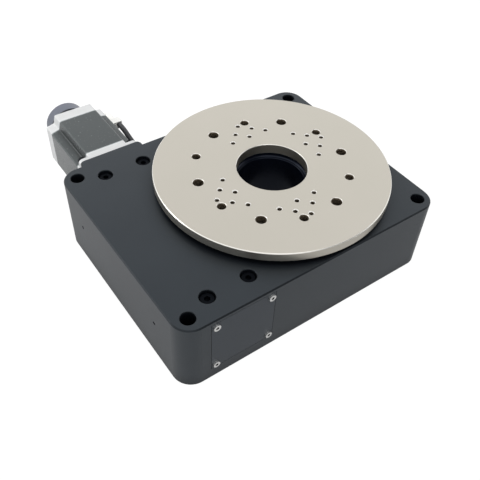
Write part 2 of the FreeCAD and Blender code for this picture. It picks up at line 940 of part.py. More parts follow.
def worm_thread(turns):
    """The worm's thread, swept along its helix with a crest towards the wheel at the middle."""
    slope = math.tan(math.radians(pressure_angle))
    foot = worm_root - sliding_gap
    section = []
    for radius, side in [(foot, -1), (worm_tip, -1), (worm_tip, 1), (foot, 1)]:
        half = worm_lead / 4 - (radius - worm_pitch_radius) * slope
        section.append(Vector(radius, 0, side * half))
    outline = Part.makePolygon(section + [section[0]])
    helix = Part.makeHelix(worm_lead, turns * worm_lead, worm_pitch_radius)
    thread = Part.Wire(helix).makePipeShell([outline], True, True)
    if turns % 2:
        thread.rotate(Vector(0, 0, 0), Vector(0, 0, 1), 180)
    return toward(thread, Vector(0, 1, 0), Vector(worm_x, -turns * worm_lead / 2, worm_z))


def make_worm_shaft():
    turns = round(worm_thread_length / worm_lead)
    journal = worm_bearing_bore / 2 - fit
    collar = worm_root + worm_collar_rise
    thread_end = turns * worm_lead / 2 + worm_runout
    shaft = turned_on_worm(
        [
            (0, worm_bearing_front_y - worm_front_end),
            (journal, worm_bearing_front_y - worm_front_end),
            (journal, front_bearing_end),
            (collar, front_bearing_end),
            (collar, -thread_end - worm_collar_rise),
            (worm_root, -thread_end),
            (worm_root, thread_end),
            (collar, thread_end + worm_collar_rise),
            (collar, worm_bearing_rear_y),
            (journal, worm_bearing_rear_y),
            (journal, coupling_start + worm_shaft_grip),
            (0, coupling_start + worm_shaft_grip),
        ]
    )
    return shaft.fuse(worm_thread(turns))


def shielded_rings(y_low, bore, outside, width):
    """The two rings of a ball bearing, with the shield in the outer ring that closes it off."""
    shield = (bore + outside) / 4 - shield_reach * (outside - bore) / 2
    outer = tube_on_worm(outside / 2, shield, y_low, y_low + width)
    inner = tube_on_worm(shield - sliding_gap, bore / 2, y_low, y_low + width)
    return outer, inner


def make_worm_carrier():
    body = block(
        worm_x - carrier_width / 2,
        worm_x + carrier_width / 2,
        carrier_front,
        carrier_back,
        carrier_low,
        carrier_high,
    )
    seat = worm_bearing_outside / 2 + fit
    wheel_low_cut = wheel_low - worm_room_gap
    wheel_high_cut = wheel_high + worm_room_gap
    spanner_end = rear_bearing_end + circlip_width
    bearing_block = bearing_outside / 2 + bearing_wall + carrier_wheel_gap
    cuts = [
        post(wheel_room - carrier_wheel_gap, wheel_low_cut, wheel_high_cut),
        post(bearing_block, room_top - carrier_wheel_gap, carrier_high + past),
        rod(worm_tip + worm_room_gap, carrier_front, carrier_back),
        rod(seat, worm_bearing_front_y, front_bearing_end),
        rod(preload_ring_radius + fit, carrier_front - past, worm_bearing_front_y),
        rod(seat, worm_bearing_rear_y, spanner_end),
        rod(coupling_diameter / 2 + coupling_room_gap, spanner_end, carrier_back + past),
    ]
    for x, y in corners(carrier_screw_spacing_x, carrier_screw_spacing_y):
        low = carrier_high - carrier_screw_grip - past
        cuts.append(post(carrier_screw_diameter / 2 + fit, low, carrier_high + past, worm_x + x, y))
    for x in sensor_screw_xs():
        top = carrier_low + small_screw_grip + past
        cuts.append(post(small_screw_diameter / 2 + fit, carrier_low - past, top, x))
    return body.cut(group(cuts))


def make_carrier_screws():
    length = carrier_screw_seat - carrier_high + carrier_screw_grip
    screws = []
    for x, y in corners(carrier_screw_spacing_x, carrier_screw_spacing_y):
        screws.append(
            socket_screw(
                carrier_screw_diameter,
                length,
                carrier_screw_head,
                carrier_screw_head_height,
                Vector(0, 0, 1),
                Vector(worm_x + x, y, carrier_screw_seat),
            )
        )
    return group(screws)


def make_preload_ring():
    """The threaded ring that presses the front bearing, with four holes for a pin spanner."""
    start = worm_bearing_front_y - preload_ring_width
    inner = worm_bearing_outside / 2 - preload_ring_grip
    ring = tube_on_worm(preload_ring_radius, inner, start, worm_bearing_front_y)
    middle = (preload_ring_radius + inner) / 2
    hole = rod(spanner_hole_diameter / 2, start - past, start + spanner_hole_depth, worm_x + middle)
    return ring.cut(group(copies_round_worm(hole, 4)))


def make_worm_lock_nut():
    start = worm_bearing_front_y - lock_nut_width
    outer = worm_bearing_bore / 2 + lock_nut_wall
    nut = tube_on_worm(outer, worm_bearing_bore / 2, start, worm_bearing_front_y)
    slot_end = start + lock_nut_width / 2
    slot = block_on(worm_x, start - past, slot_end, worm_z + outer, lock_nut_slot, lock_nut_wall)
    return nut.cut(group(copies_round_worm(slot, 4)))


def make_circlip():
    """A snap ring behind the rear bearing, open at the bottom."""
    low = rear_bearing_end
    high = low + circlip_width
    outer = worm_bearing_outside / 2
    ring = tube_on_worm(outer, outer - circlip_reach, low, high)
    return ring.cut(block_on(worm_x, low - past, high + past, worm_z - outer, circlip_opening, outer))


def flag_place(shape):
    """Turn a piece of the sensor's flag from the -X side to where it stands on the wheel."""
    placed = shape.copy()
    placed.rotate(Vector(0, 0, 0), Vector(0, 0, 1), flag_turn)
    return placed


def make_sensor_flag():
    """A bent strip: its foot is screwed under the wheel's web and its blade hangs down."""
    top = wheel_web_low
    half = flag_width / 2
    near = -flag_radius - flag_thickness / 2
    foot = block(near, -flag_radius + flag_foot_length, -half, half, top - flag_foot_thickness, top)
    blade = block(near, near + flag_thickness, -half, half, wheel_low - flag_drop, top)
    radius = small_screw_diameter / 2 + small_screw_play
    hole = post(radius, top - flag_foot_thickness - past, top + past, -flag_screw_radius)
    return flag_place(foot.fuse(blade).removeSplitter().cut(hole))


def cap_screw(length, direction, at):
    return socket_screw(small_screw_diameter, length, cap_head_diameter, cap_head_height, direction, at)


def make_flag_screw():
    at = Vector(-flag_screw_radius, 0, wheel_web_low - flag_foot_thickness)
    return flag_place(cap_screw(small_screw_grip, Vector(0, 0, -1), at))


def sensor_screw_xs():
    return [worm_x + offset for offset in sensor_screw_offsets]


def make_sensor_bracket():
    start = sensor_screw_xs()[0] - sensor_screw_margin
    end = -flag_radius + sensor_plate_end
    half = sensor_plate_width / 2
    low = carrier_low - sensor_plate_thickness
    plate = block(start, end, -half, half, low, carrier_low)
    radius = small_screw_diameter / 2 + small_screw_play
    holes = [post(radius, low - past, carrier_low + past, x) for x in sensor_screw_xs()]
    return plate.cut(group(holes))


def make_sensor_screws():
    low = carrier_low - sensor_plate_thickness
    length = sensor_plate_thickness + small_screw_grip
    return group([cap_screw(length, Vector(0, 0, -1), Vector(x, 0, low)) for x in sensor_screw_xs()])


def make_home_sensor():
    """A forked light barrier that stands on the bracket under the wheel."""
    half_length = sensor_body_length / 2
    half_width = sensor_body_width / 2
    half_slot = sensor_slot_width / 2
    top = wheel_low - past
    body = block(
        -flag_radius - half_length, -flag_radius + half_length, -half_width, half_width, carrier_low, top
    )
    floor = carrier_low + sensor_slot_floor
    far = half_width + past
    slot = block(-flag_radius - half_slot, -flag_radius + half_slot, -far, far, floor, top + past)
    return body.cut(slot)


def claw(inner, outer, middle_angle, width_angle, y_low, y_high):
    """A claw of the coupling: part of a tube round the worm's axis."""
    tube = tube_on_worm(outer, inner, y_low, y_high)
    points = [Vector(worm_x, y_low, worm_z)]
    for side in (-1, 1):
        x, z = on_ring(4 * outer, middle_angle + side * width_angle / 2)
        points.append(Vector(worm_x + x, y_low, worm_z + z))
    return tube.common(face_of(points).extrude(Vector(0, y_high - y_low, 0)))


def claw_angles(first):
    return [first + 360.0 / coupling_claws * index for index in range(coupling_claws)]


def make_coupling_hub(y_low, y_high, claw_low, claw_high, bore, first):
    """A hub whose claws stand between claw_low and claw_high, slit so that it clamps its shaft."""
    hub = rod(coupling_diameter / 2, y_low, y_high)
    for angle in claw_angles(first):
        claw_piece = claw(
            coupling_claw_bore / 2, coupling_diameter / 2, angle, coupling_claw_angle, claw_low, claw_high
        )
        hub = hub.fuse(claw_piece)
    hub = hub.cut(rod(bore / 2, y_low - past, y_high + past))
    top = worm_z + coupling_diameter / 2
    slit_low = y_low - past if claw_low > y_low else y_low
    slit_high = y_high + past if claw_high < y_high else y_high
    return hub.cut(block_on(worm_x, slit_low, slit_high, top, coupling_slot, coupling_diameter))


def make_worm_hub():
    end = coupling_start + coupling_hub_length
    claw_end = end + coupling_jaw_length - 2 * coupling_gap
    return make_coupling_hub(coupling_start, end, end, claw_end, worm_bearing_bore, 0)


def make_motor_hub():
    start = coupling_end - coupling_hub_length
    claw_start = start - coupling_jaw_length + 2 * coupling_gap
    first = 180.0 / coupling_claws
    return make_coupling_hub(start, coupling_end, claw_start, start, motor_shaft_diameter, first)


def make_coupling_spider():
    low = coupling_start + coupling_hub_length + coupling_gap
    high = low + coupling_jaw_length - 2 * coupling_gap
    outer = coupling_diameter / 2
    spider = tube_on_worm(outer - coupling_gap, spider_bore / 2, low, high)
    room_angle = coupling_claw_angle + spider_gap_angle
    for angle in claw_angles(0) + claw_angles(180.0 / coupling_claws):
        inner = coupling_claw_bore / 2 - coupling_gap
        spider = spider.cut(claw(inner, outer + past, angle, room_angle, low - past, high + past))
    return spider


def motor_section(y_low, y_high):
    """The notched square of the motor's body, drawn out along its axis, with its edges rounded."""
    half = motor_side / 2
    flat = motor_flat / 2
    deep = half - motor_notch
    points = []
    for a, b in ((1, 1), (1, -1), (-1, -1), (-1, 1)):
        ends = [(flat * a, half * b), (deep * a, deep * b), (half * a, flat * b)]
        points += ends if a == b else ends[::-1]
    outline = [Vector(worm_x + x, y_low, worm_z + z) for x, z in points]
    body = face_of(outline).extrude(Vector(0, y_high - y_low, 0))
    long_edges = [edge for edge in body.Edges if abs(edge.BoundBox.YLength - (y_high - y_low)) < 1e-6]
    return body.makeFillet(motor_edge_radius, long_edges)


def rods_on_worm(radius, spacing, y_low, y_high):
    return [rod(radius, y_low, y_high, x, z) for x, z in corners_on_worm(spacing, spacing)]


def make_motor_front_bell():
    ear_end = motor_face_y + motor_ear_thickness
    ears = block_on(worm_x, motor_face_y, ear_end, worm_z, motor_side, motor_side)
    long_edges = [edge for edge in ears.Edges if abs(edge.BoundBox.YLength - motor_ear_thickness) < 1e-6]
    ears = ears.makeFillet(motor_ear_radius, long_edges)
    pilot = rod(motor_pilot_diameter / 2, motor_face_y - motor_pilot_depth, motor_face_y)
    bell = ears.fuse(motor_section(motor_face_y + past, front_bell_end)).fuse(pilot).removeSplitter()
    shaft_hole = rod(motor_shaft_diameter / 2 + past, motor_face_y - 2 * motor_pilot_depth, front_bell_end)
    cuts = [shaft_hole, rod(motor_bearing_outside / 2 + fit, front_seat_start, front_bell_end + past)]
    bolt_hole = motor_bolt_diameter / 2 + motor_bolt_play
    cuts += rods_on_worm(bolt_hole, motor_bolt_spacing, motor_face_y - past, front_bell_end)
    tie_hole = motor_tie_diameter / 2 + fit
    start = motor_face_y + motor_tie_cover
    cuts += rods_on_worm(tie_hole, motor_tie_spacing, start, front_bell_end + past)
    return bell.cut(group(cuts))


def make_motor_stator():
    start = front_bell_end - past
    end = rear_bell_start + past
    cuts = [
        rod(rotor_diameter / 2 + rotor_gap, start, end),
        rod(winding_radius, start, front_bell_end + winding_gap + winding_length),
        rod(winding_radius, rear_bell_start - winding_gap - winding_length, end),
    ]
    cuts += rods_on_worm(motor_tie_diameter / 2 + motor_tie_play, motor_tie_spacing, start, end)
    return motor_section(front_bell_end, rear_bell_start).cut(group(cuts))


def make_motor_windings():
    inner = rotor_diameter / 2 + 4 * rotor_gap
    outer = winding_radius - fit
    starts = (front_bell_end + winding_gap, rear_bell_start - winding_gap - winding_length)
    return group([tube_on_worm(outer, inner, start, start + winding_length) for start in starts])


def make_motor_rear_bell():
    start = rear_bell_start - past
    cuts = [
        rod(motor_shaft_diameter / 2 + past, start, motor_back_y + past),
        rod(motor_bearing_outside / 2 + fit, start, rear_seat_end),
    ]
    end = motor_back_y + past
    cuts += rods_on_worm(motor_tie_diameter / 2 + motor_tie_play, motor_tie_spacing, start, end)
    seat = motor_back_y - motor_tie_head_height
    cuts += rods_on_worm(motor_tie_head / 2 + motor_tie_play, motor_tie_spacing, seat, end)
    return motor_section(rear_bell_start, motor_back_y).cut(group(cuts))


def make_motor_tie_screws():
    seat = motor_back_y - motor_tie_head_height
    length = seat - motor_face_y - motor_tie_cover - past
    return group(
        [
            socket_screw(
                motor_tie_diameter,
                length,
                motor_tie_head,
                motor_tie_head_height,
                Vector(0, 1, 0),
                Vector(x, seat, z),
            )
            for x, z in corners_on_worm(motor_tie_spacing, motor_tie_spacing)
        ]
    )


def make_motor_mounting_screws():
    seat = motor_face_y + motor_ear_thickness
    return group(
        [
            socket_screw(
                motor_bolt_diameter,
                motor_bolt_length,
                motor_bolt_head,
                motor_bolt_head_height,
                Vector(0, 1, 0),
                Vector(x, seat, z),
            )
            for x, z in corners_on_worm(motor_bolt_spacing, motor_bolt_spacing)
        ]
    )


def make_motor_shaft():
    """The motor's shaft, with a flat at its front end for the coupling."""
    radius = motor_shaft_diameter / 2
    shaft = rod(radius, motor_shaft_tip, knob_end - knob_wall)
    side = worm_x + 2 * radius - motor_shaft_flat
    flat_end = motor_shaft_tip + motor_shaft_flat_length
    flat = block_on(side, motor_shaft_tip - past, flat_end, worm_z, 2 * radius, 2 * radius)
    return shaft.cut(flat)


def make_motor_rotor():
    start = front_bell_end + winding_gap + winding_length - past
    end = rear_bell_start - winding_gap - winding_length + past
    return tube_on_worm(rotor_diameter / 2, motor_shaft_diameter / 2 + fit, start, end)


def make_hand_knob():
    """A knob with a thick rim and a long hub, in which a set screw holds it to the shaft."""
    outer = knob_diameter / 2
    hub = knob_hub_diameter / 2
    bore = motor_shaft_diameter / 2 + fit
    edge = knob_rim / 2
    knob = turned_on_worm(
        [
            (bore, motor_back_y + knob_hub_gap),
            (hub, motor_back_y + knob_hub_gap),
            (hub, knob_start + knob_step),
            (outer - knob_rim, knob_start + knob_step),
            (outer - knob_rim, knob_start),
            (outer - edge / 2, knob_start),
            (outer, knob_start + edge / 2),
            (outer, knob_end - edge),
            (outer - edge, knob_end),
            (0, knob_end),
            (0, knob_end - knob_wall),
            (bore, knob_end - knob_wall),
        ]
    )
    y = motor_back_y + knob_screw_place
    return knob.cut(post(knob_screw_diameter / 2 + fit, worm_z, worm_z + hub + past, worm_x, y))


def make_knob_set_screw():
    low = worm_z + motor_shaft_diameter / 2
    high = worm_z + knob_hub_diameter / 2 - knob_screw_sink
    y = motor_back_y + knob_screw_place
    screw = post(knob_screw_diameter / 2, low, high, worm_x, y)
    return screw.cut(post(knob_screw_diameter / 4, (low + high) / 2, high + past, worm_x, y))


def make_motor_connector():
    end = connector_y + connector_width
    side = connector_x + connector_depth
    low = connector_top - connector_height
    body = block(connector_x, side, connector_y, end, low, connector_top)
    mouth = block(
        connector_x + connector_wall,
        side - connector_wall,
        connector_y - past,
        end - connector_floor,
        low + connector_wall,
        connector_top - connector_wall,
    )
    return body.cut(mouth)


def make_motor_plug():
    side = connector_x + connector_depth
    low = connector_top - connector_height
    outer = block(
        connector_x + plug_margin,
        connector_x + plug_depth,
        connector_y - plug_length,
        connector_y,
        low + plug_margin,
        connector_top,
    )
    inset = connector_wall + plug_nose_gap
    nose = block(
        connector_x + inset,
        side - inset,
        connector_y,
        connector_y + connector_width - connector_floor - past,
        low + inset,
        connector_top - inset,
    )
    return outer.fuse(nose).removeSplitter()


def routed_path(points):
    """Straight runs joined by arcs, each as large as its two runs allow."""
    edges = []
    start = points[0]
    for before, corner, after in zip(points, points[1:], points[2:]):
        backward = before - corner
        forward = after - corner
        cut = 0.45 * min(backward.Length, forward.Length)
        backward.normalize()
        forward.normalize()
        half_turn = (math.pi - backward.getAngle(forward)) / 2
        radius = cut / math.tan(half_turn)
        print("lead bends to a radius of", round(radius, 1), "mm")
        arc_start = corner + backward * cut
        arc_end = corner + forward * cut
        inward = (backward + forward).normalize()
        middle = corner + inward * (radius / math.cos(half_turn) - radius)
        edges.append(Part.LineSegment(start, arc_start).toShape())
        edges.append(Part.Arc(arc_start, middle, arc_end).toShape())
        start = arc_end
    edges.append(Part.LineSegment(start, points[-1]).toShape())
    return Part.Wire(edges)


def make_motor_cable():
    path = routed_path(cable_route)
    direction = cable_route[1] - cable_route[0]
    circle = Part.Wire(Part.Circle(cable_route[0], direction, cable_diameter / 2).toShape())
    cable = path.makePipeShell([circle], True, False)
    section = math.pi * cable_diameter ** 2 / 4
    print("lead length", round(path.Length, 1), "volume over section", round(cable.Volume / section, 1))
    return cable


def make_cable_grommet():
    place = (cable_hole_x, cable_hole_z)
    face = back_y + grommet_face
    body = rod(cable_hole_diameter / 2, room_y_high, back_y, *place)
    body = body.fuse(rod(cable_hole_diameter / 2 + grommet_flange_margin, back_y, face, *place))
    return body.cut(rod(cable_diameter / 2 - grommet_squeeze, room_y_high - past, face + past, *place))


def socket_screw_xs():
    return [socket_x + side * socket_screw_spacing / 2 for side in (-1, 1)]


def shell_outline(half_width, half_height, length):
    """The tapered outline of the socket's metal shell, drawn out along Y."""
    y_low = back_y + socket_flange
    narrow = half_width - socket_shell_lean
    points = [
        Vector(socket_x - half_width, y_low, worm_z + half_height),
        Vector(socket_x + half_width, y_low, worm_z + half_height),
        Vector(socket_x + narrow, y_low, worm_z - half_height),
        Vector(socket_x - narrow, y_low, worm_z - half_height),
    ]
    return face_of(points).extrude(Vector(0, length, 0))


def socket_pins():
    """Two rows of contact pins inside the shell."""
    start = back_y + socket_flange
    pins = []
    for rise, count in zip((socket_pin_rise, -socket_pin_rise), socket_pins_in_rows):
        for index in range(count):
            x = socket_x + (index - (count - 1) / 2) * socket_pin_pitch
            pins.append(rod(socket_pin_diameter / 2, start, start + socket_pin_length, x, worm_z + rise))
    return pins


def make_control_socket():
    flange_end = back_y + socket_flange
    flange = block_on(socket_x, back_y, flange_end, worm_z, socket_width, socket_height)
    radius = small_screw_diameter / 2 + fit
    holes = [rod(radius, back_y - past, flange_end + past, x, worm_z) for x in socket_screw_xs()]
    inner_width = socket_shell_half_width - socket_shell_wall
    inner_height = socket_shell_half_height - socket_shell_wall
    shell = shell_outline(socket_shell_half_width, socket_shell_half_height, socket_shell_length)
    shell = shell.cut(shell_outline(inner_width, inner_height, socket_shell_length + past))
    width = socket_cut_width - 2 * sliding_gap
    height = socket_cut_height - 2 * sliding_gap
    rear = block_on(socket_x, back_y - socket_body_depth, back_y, worm_z, width, height)
    return flange.cut(group(holes)).fuse([shell, rear] + socket_pins()).removeSplitter()


def make_socket_screws():
    """The hexagon posts that hold the socket and take the screws of its plug."""
    seat = back_y + socket_flange
    return group(
        [
            socket_screw(
                small_screw_diameter,
                small_screw_grip,
                cap_head_diameter,
                socket_post_height,
                Vector(0, 1, 0),
                Vector(x, seat, worm_z),
            )
            for x in socket_screw_xs()
        ]
    )


def make_base_pieces():
    return {
        "housing": make_housing(),
        "bottom_cover": make_bottom_cover(),
        "bottom_cover_screws": make_bottom_cover_screws(),
        "access_cover": make_access_cover(),
        "access_cover_screws": make_access_cover_screws(),
        "mesh_set_screws": make_set_screws(),
        "control_socket": make_control_socket(),
        "control_socket_screws": make_socket_screws(),
        "cable_grommet": make_cable_grommet(),
    }


def make_table_pieces():
    return {
        "table": make_table(),
        "table_screws": make_table_screws(),
        "spindle": make_spindle(),
        "bearing_inner_ring": make_bearing_inner_ring(),
        "bearing_outer_ring": make_bearing_outer_ring(),
        "bearing_rollers": make_bearing_rollers(),
        "bearing_clamp_ring": make_clamp_ring(),
        "clamp_ring_screws": make_clamp_ring_screws(),
        "worm_wheel": make_worm_wheel(),
        "wheel_screws": make_wheel_screws(),
        "sensor_flag": make_sensor_flag(),
        "flag_screw": make_flag_screw(),
    }


def make_worm_pieces():
    sizes = (worm_bearing_bore, worm_bearing_outside, worm_bearing_width)
    outer_front, inner_front = shielded_rings(worm_bearing_front_y, *sizes)
    outer_rear, inner_rear = shielded_rings(worm_bearing_rear_y, *sizes)
    return {
        "worm_shaft": make_worm_shaft(),
        "worm_carrier": make_worm_carrier(),
        "worm_carrier_screws": make_carrier_screws(),
        "worm_bearing_outer_front": outer_front,
        "worm_bearing_outer_rear": outer_rear,
        "worm_bearing_inner_front": inner_front,
        "worm_bearing_inner_rear": inner_rear,
        "bearing_preload_ring": make_preload_ring(),
        "worm_lock_nut": make_worm_lock_nut(),
        "bearing_circlip": make_circlip(),
        "coupling_hub_worm": make_worm_hub(),
        "coupling_spider": make_coupling_spider(),
        "coupling_hub_motor": make_motor_hub(),
        "sensor_bracket": make_sensor_bracket(),
        "sensor_screws": make_sensor_screws(),
        "home_sensor": make_home_sensor(),
    }


def make_motor_pieces():
    sizes = (motor_shaft_diameter, motor_bearing_outside, motor_bearing_width)
    outer_front, inner_front = shielded_rings(front_seat_start, *sizes)
    outer_rear, inner_rear = shielded_rings(rear_bell_start, *sizes)
    return {
        "motor_front_bell": make_motor_front_bell(),
        "motor_stator": make_motor_stator(),
        "motor_windings": make_motor_windings(),
        "motor_rear_bell": make_motor_rear_bell(),
        "motor_tie_screws": make_motor_tie_screws(),
        "motor_mounting_screws": make_motor_mounting_screws(),
        "motor_bearing_outer_front": outer_front,
        "motor_bearing_outer_rear": outer_rear,
        "motor_bearing_inner_front": inner_front,
        "motor_bearing_inner_rear": inner_rear,
        "motor_shaft": make_motor_shaft(),
        "motor_rotor": make_motor_rotor(),
        "hand_knob": make_hand_knob(),
        "knob_set_screw": make_knob_set_screw(),
        "motor_connector": make_motor_connector(),
        "motor_plug": make_motor_plug(),
        "motor_cable": make_motor_cable(),
    }


os.makedirs("parts", exist_ok=True)
pieces = {**make_base_pieces(), **make_table_pieces(), **make_worm_pieces(), **make_motor_pieces()}
for node, shape in pieces.items():
    shape.exportStep("parts/" + node + ".step")
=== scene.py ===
import math
import bpy
from mathutils import Matrix, Vector


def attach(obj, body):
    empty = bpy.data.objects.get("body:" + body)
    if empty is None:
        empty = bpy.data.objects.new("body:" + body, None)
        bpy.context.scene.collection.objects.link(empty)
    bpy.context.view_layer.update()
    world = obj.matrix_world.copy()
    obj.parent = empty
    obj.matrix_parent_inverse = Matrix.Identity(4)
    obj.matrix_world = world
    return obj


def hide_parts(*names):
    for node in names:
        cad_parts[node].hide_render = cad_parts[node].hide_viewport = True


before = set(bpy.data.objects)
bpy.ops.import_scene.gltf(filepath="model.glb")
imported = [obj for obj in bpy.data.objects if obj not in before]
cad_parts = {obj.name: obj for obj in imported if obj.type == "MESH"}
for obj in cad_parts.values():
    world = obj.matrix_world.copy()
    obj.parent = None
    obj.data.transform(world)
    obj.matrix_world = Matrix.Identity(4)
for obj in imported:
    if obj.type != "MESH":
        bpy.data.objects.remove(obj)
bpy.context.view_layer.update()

mm = 0.001
mixFrom, mixTo, mixResult = 6, 7, 2  # colour sockets of a Mix node, by number as their names come up twice


def hexColour(text):
    # sRGB hex to the linear colour that the shader wants
    parts = [int(text[i:i + 2], 16) / 255 for i in (1, 3, 5)]
    linear = [c / 12.92 if c <= 0.04045 else ((c + 0.055) / 1.055) ** 2.4 for c in parts]
    return (*linear, 1.0)


def addNode(tree, kind, links=(), **settings):
    # links are (own input, node, its output); settings are properties or input values, and in1 is input 1
    node = tree.nodes.new(kind)
    properties = node.bl_rna.properties
    for key, value in settings.items():
        if key in properties:
            setattr(node, key, value)  # first, because these change which inputs there are
    for key, value in settings.items():
        if key not in properties:
            numbered = key.startswith("in") and key[2:].isdigit()
            node.inputs[int(key[2:]) if numbered else key.replace("_", " ")].default_value = value
    for ownInput, other, output in links:
        tree.links.new(other.outputs[output], node.inputs[ownInput])
    return node


def newMaterial(name, colour, metallic, roughness):
    # a shader with its output, and the piece's own coordinates in metres
    material = bpy.data.materials.new(name)
    material.use_nodes = True
    tree = material.node_tree
    tree.nodes.clear()
    shader = addNode(tree, "ShaderNodeBsdfPrincipled", Metallic=metallic, Roughness=roughness)
    shader.inputs["Base Color"].default_value = hexColour(colour)
    addNode(tree, "ShaderNodeOutputMaterial", [("Surface", shader, "BSDF")])
    place = addNode(tree, "ShaderNodeTexCoord")
    return material, tree, shader, place


def varyColour(tree, shader, factor, output, dark, light):
    # a darker colour where the factor is 0 and a lighter one where it is 1
    mix = addNode(tree, "ShaderNodeMix", [("Factor", factor, output)], data_type="RGBA")
    mix.inputs[mixFrom].default_value = hexColour(dark)
    mix.inputs[mixTo].default_value = hexColour(light)
    tree.links.new(mix.outputs[mixResult], shader.inputs["Base Color"])


def mixOver(tree, shader, factor, output, colour):
    # the colour so far where the factor is 0, and another where it is 1
    base = shader.inputs["Base Color"]
    mix = addNode(tree, "ShaderNodeMix", [("Factor", factor, output)], data_type="RGBA")
    mix.inputs[mixFrom].default_value = base.default_value
    mix.inputs[mixTo].default_value = hexColour(colour)
    if base.is_linked:
        tree.links.new(base.links[0].from_socket, mix.inputs[mixFrom])
    tree.links.new(mix.outputs[mixResult], base)


def closeness(tree, reach, starts, full, **settings):
    # 0 in the open and 1 where other faces crowd in within reach; starts and full are free shares of the view
    free = addNode(tree, "ShaderNodeAmbientOcclusion", samples=16, Distance=reach, **settings)
    return addNode(tree, "ShaderNodeMapRange", [("Value", free, "AO")], From_Min=starts, From_Max=full)


def facing(tree, place, axis):
    # 1 on faces square to the axis, 0 on faces that run along it
    split = addNode(tree, "ShaderNodeSeparateXYZ", [("Vector", place, "Normal")])
    return addNode(tree, "ShaderNodeMath", [(0, split, axis)], operation="ABSOLUTE")


def apartFrom(tree, number, middle, zeroAt, oneAt):
    # how far a number lies from the middle, told as 0 at one distance and 1 at another
    shifted = addNode(tree, "ShaderNodeMath", [(0, number, 0)], operation="SUBTRACT", in1=middle)
    apart = addNode(tree, "ShaderNodeMath", [(0, shifted, 0)], operation="ABSOLUTE")
    return addNode(tree, "ShaderNodeMapRange", [("Value", apart, 0)], From_Min=zeroAt, From_Max=oneAt)


def varyRoughness(tree, shader, factor, output, low, high):
    # low where the factor is 0 and high where it is 1
    spread = addNode(tree, "ShaderNodeMapRange", [("Value", factor, output)], To_Min=low, To_Max=high)
    tree.links.new(spread.outputs[0], shader.inputs["Roughness"])


def addBump(tree, shader, height, output, depth, before=None):
    # depth in metres
    bump = addNode(tree, "ShaderNodeBump", [("Height", height, output)], Strength=1.0, Distance=depth)
    if before is not None:
        tree.links.new(before.outputs[0], bump.inputs["Normal"])
    tree.links.new(bump.outputs[0], shader.inputs["Normal"])
    return bump


# Scale counts a noise texture's grains in a metre, so 2000 is 0.5 mm; a wave has 3.18 times as many bands
chamferSlope = {"middle": 0.7, "zeroAt": 0.2, "oneAt": 0.1}  # how far a 45 degree chamfer faces its axis
edgeWear = 0.4 * mm  # radius at which edges are rounded by use


def blastedAnodising(name, dark, light, roughness):
    # aluminium, bead blasted and anodised black: an even velvety grain with a soft sheen
    material, tree, shader, place = newMaterial(name, light, metallic=0.0, roughness=roughness)
    # the beads leave 0.1 mm pits, drawn 0.5 mm wide so that they show, and the dye takes in 40 mm clouds
    grain = addNode(tree, "ShaderNodeTexNoise", [("Vector", place, "Object")], Scale=2000.0, Detail=3.0)
    cloud = addNode(tree, "ShaderNodeTexNoise", [("Vector", place, "Object")], Scale=25.0, Detail=2.0)
    varyColour(tree, shader, cloud, 0, dark, light)
    varyRoughness(tree, shader, grain, 0, roughness - 0.06, roughness + 0.06)
    # painted shade: the chamfers are darkened nearly to black, as a dark line along the edges
    mixOver(tree, shader, apartFrom(tree, facing(tree, place, "Z"), **chamferSlope), 0, "#090a0d")
    # painted shade: recesses and faces close under other pieces are darkened nearly to black
    mixOver(tree, shader, closeness(tree, reach=18 * mm, starts=0.95, full=0.35), 0, "#0a0d12")
    # the dyed pores take some of the shine and turn the rest cool
    shader.inputs["Specular IOR Level"].default_value = 0.48
    shader.inputs["Specular Tint"].default_value = hexColour("#d6e4ef")
    worn = addNode(tree, "ShaderNodeBevel", samples=4, Radius=edgeWear)
    addBump(tree, shader, grain, 0, 0.02 * mm, worn)
    return material


def turnedNickel(name, dark, light, roughness):
    # steel, faces ground and sides turned, then nickel plated: warm and even, with faint rings,
    # duller sides and a painted highlight on the chamfers
    material, tree, shader, place = newMaterial(name, light, metallic=1.0, roughness=roughness)
    split = addNode(tree, "ShaderNodeSeparateXYZ", [("Vector", place, "Object")])
    flat = addNode(tree, "ShaderNodeCombineXYZ", [("X", split, "X"), ("Y", split, "Y")])
    away = addNode(tree, "ShaderNodeVectorMath", [("Vector", flat, 0)], operation="LENGTH")
    # the tool's feed is 0.1 mm a turn, drawn as 0.7 mm bands of uneven strength; the plating has 55 mm clouds
    ring = [("W", away, "Value")]
    bands = addNode(tree, "ShaderNodeTexNoise", ring, noise_dimensions="1D", Scale=1400.0, Detail=3.0)
    cloud = addNode(tree, "ShaderNodeTexNoise", [("Vector", place, "Object")], Scale=18.0, Detail=2.0)
    varyColour(tree, shader, cloud, 0, dark, light)
    flatness = facing(tree, place, "Z")
    varyRoughness(tree, shader, flatness, 0, roughness + 0.13, roughness)
    # painted highlight: the chamfers are made near white, so that they shine as a bright line
    mixOver(tree, shader, apartFrom(tree, flatness, **chamferSlope), 0, "#f0eee8")
    worn = addNode(tree, "ShaderNodeBevel", samples=4, Radius=edgeWear)
    addBump(tree, shader, bands, 0, 0.0002 * mm, worn)
    return material


def turnedSteel(name, colour, roughness, axis):
    # bright steel or aluminium, turned: fine marks round the piece, drawn 0.4 mm apart along its axis
    material, tree, shader, place = newMaterial(name, colour, metallic=1.0, roughness=roughness)
    split = addNode(tree, "ShaderNodeSeparateXYZ", [("Vector", place, "Object")])
    along = [("W", split, axis)]
    marks = addNode(tree, "ShaderNodeTexNoise", along, noise_dimensions="1D", Scale=2500.0, Detail=2.0)
    varyRoughness(tree, shader, marks, 0, roughness - 0.06, roughness + 0.08)
    addBump(tree, shader, marks, 0, 0.006 * mm)
    return material


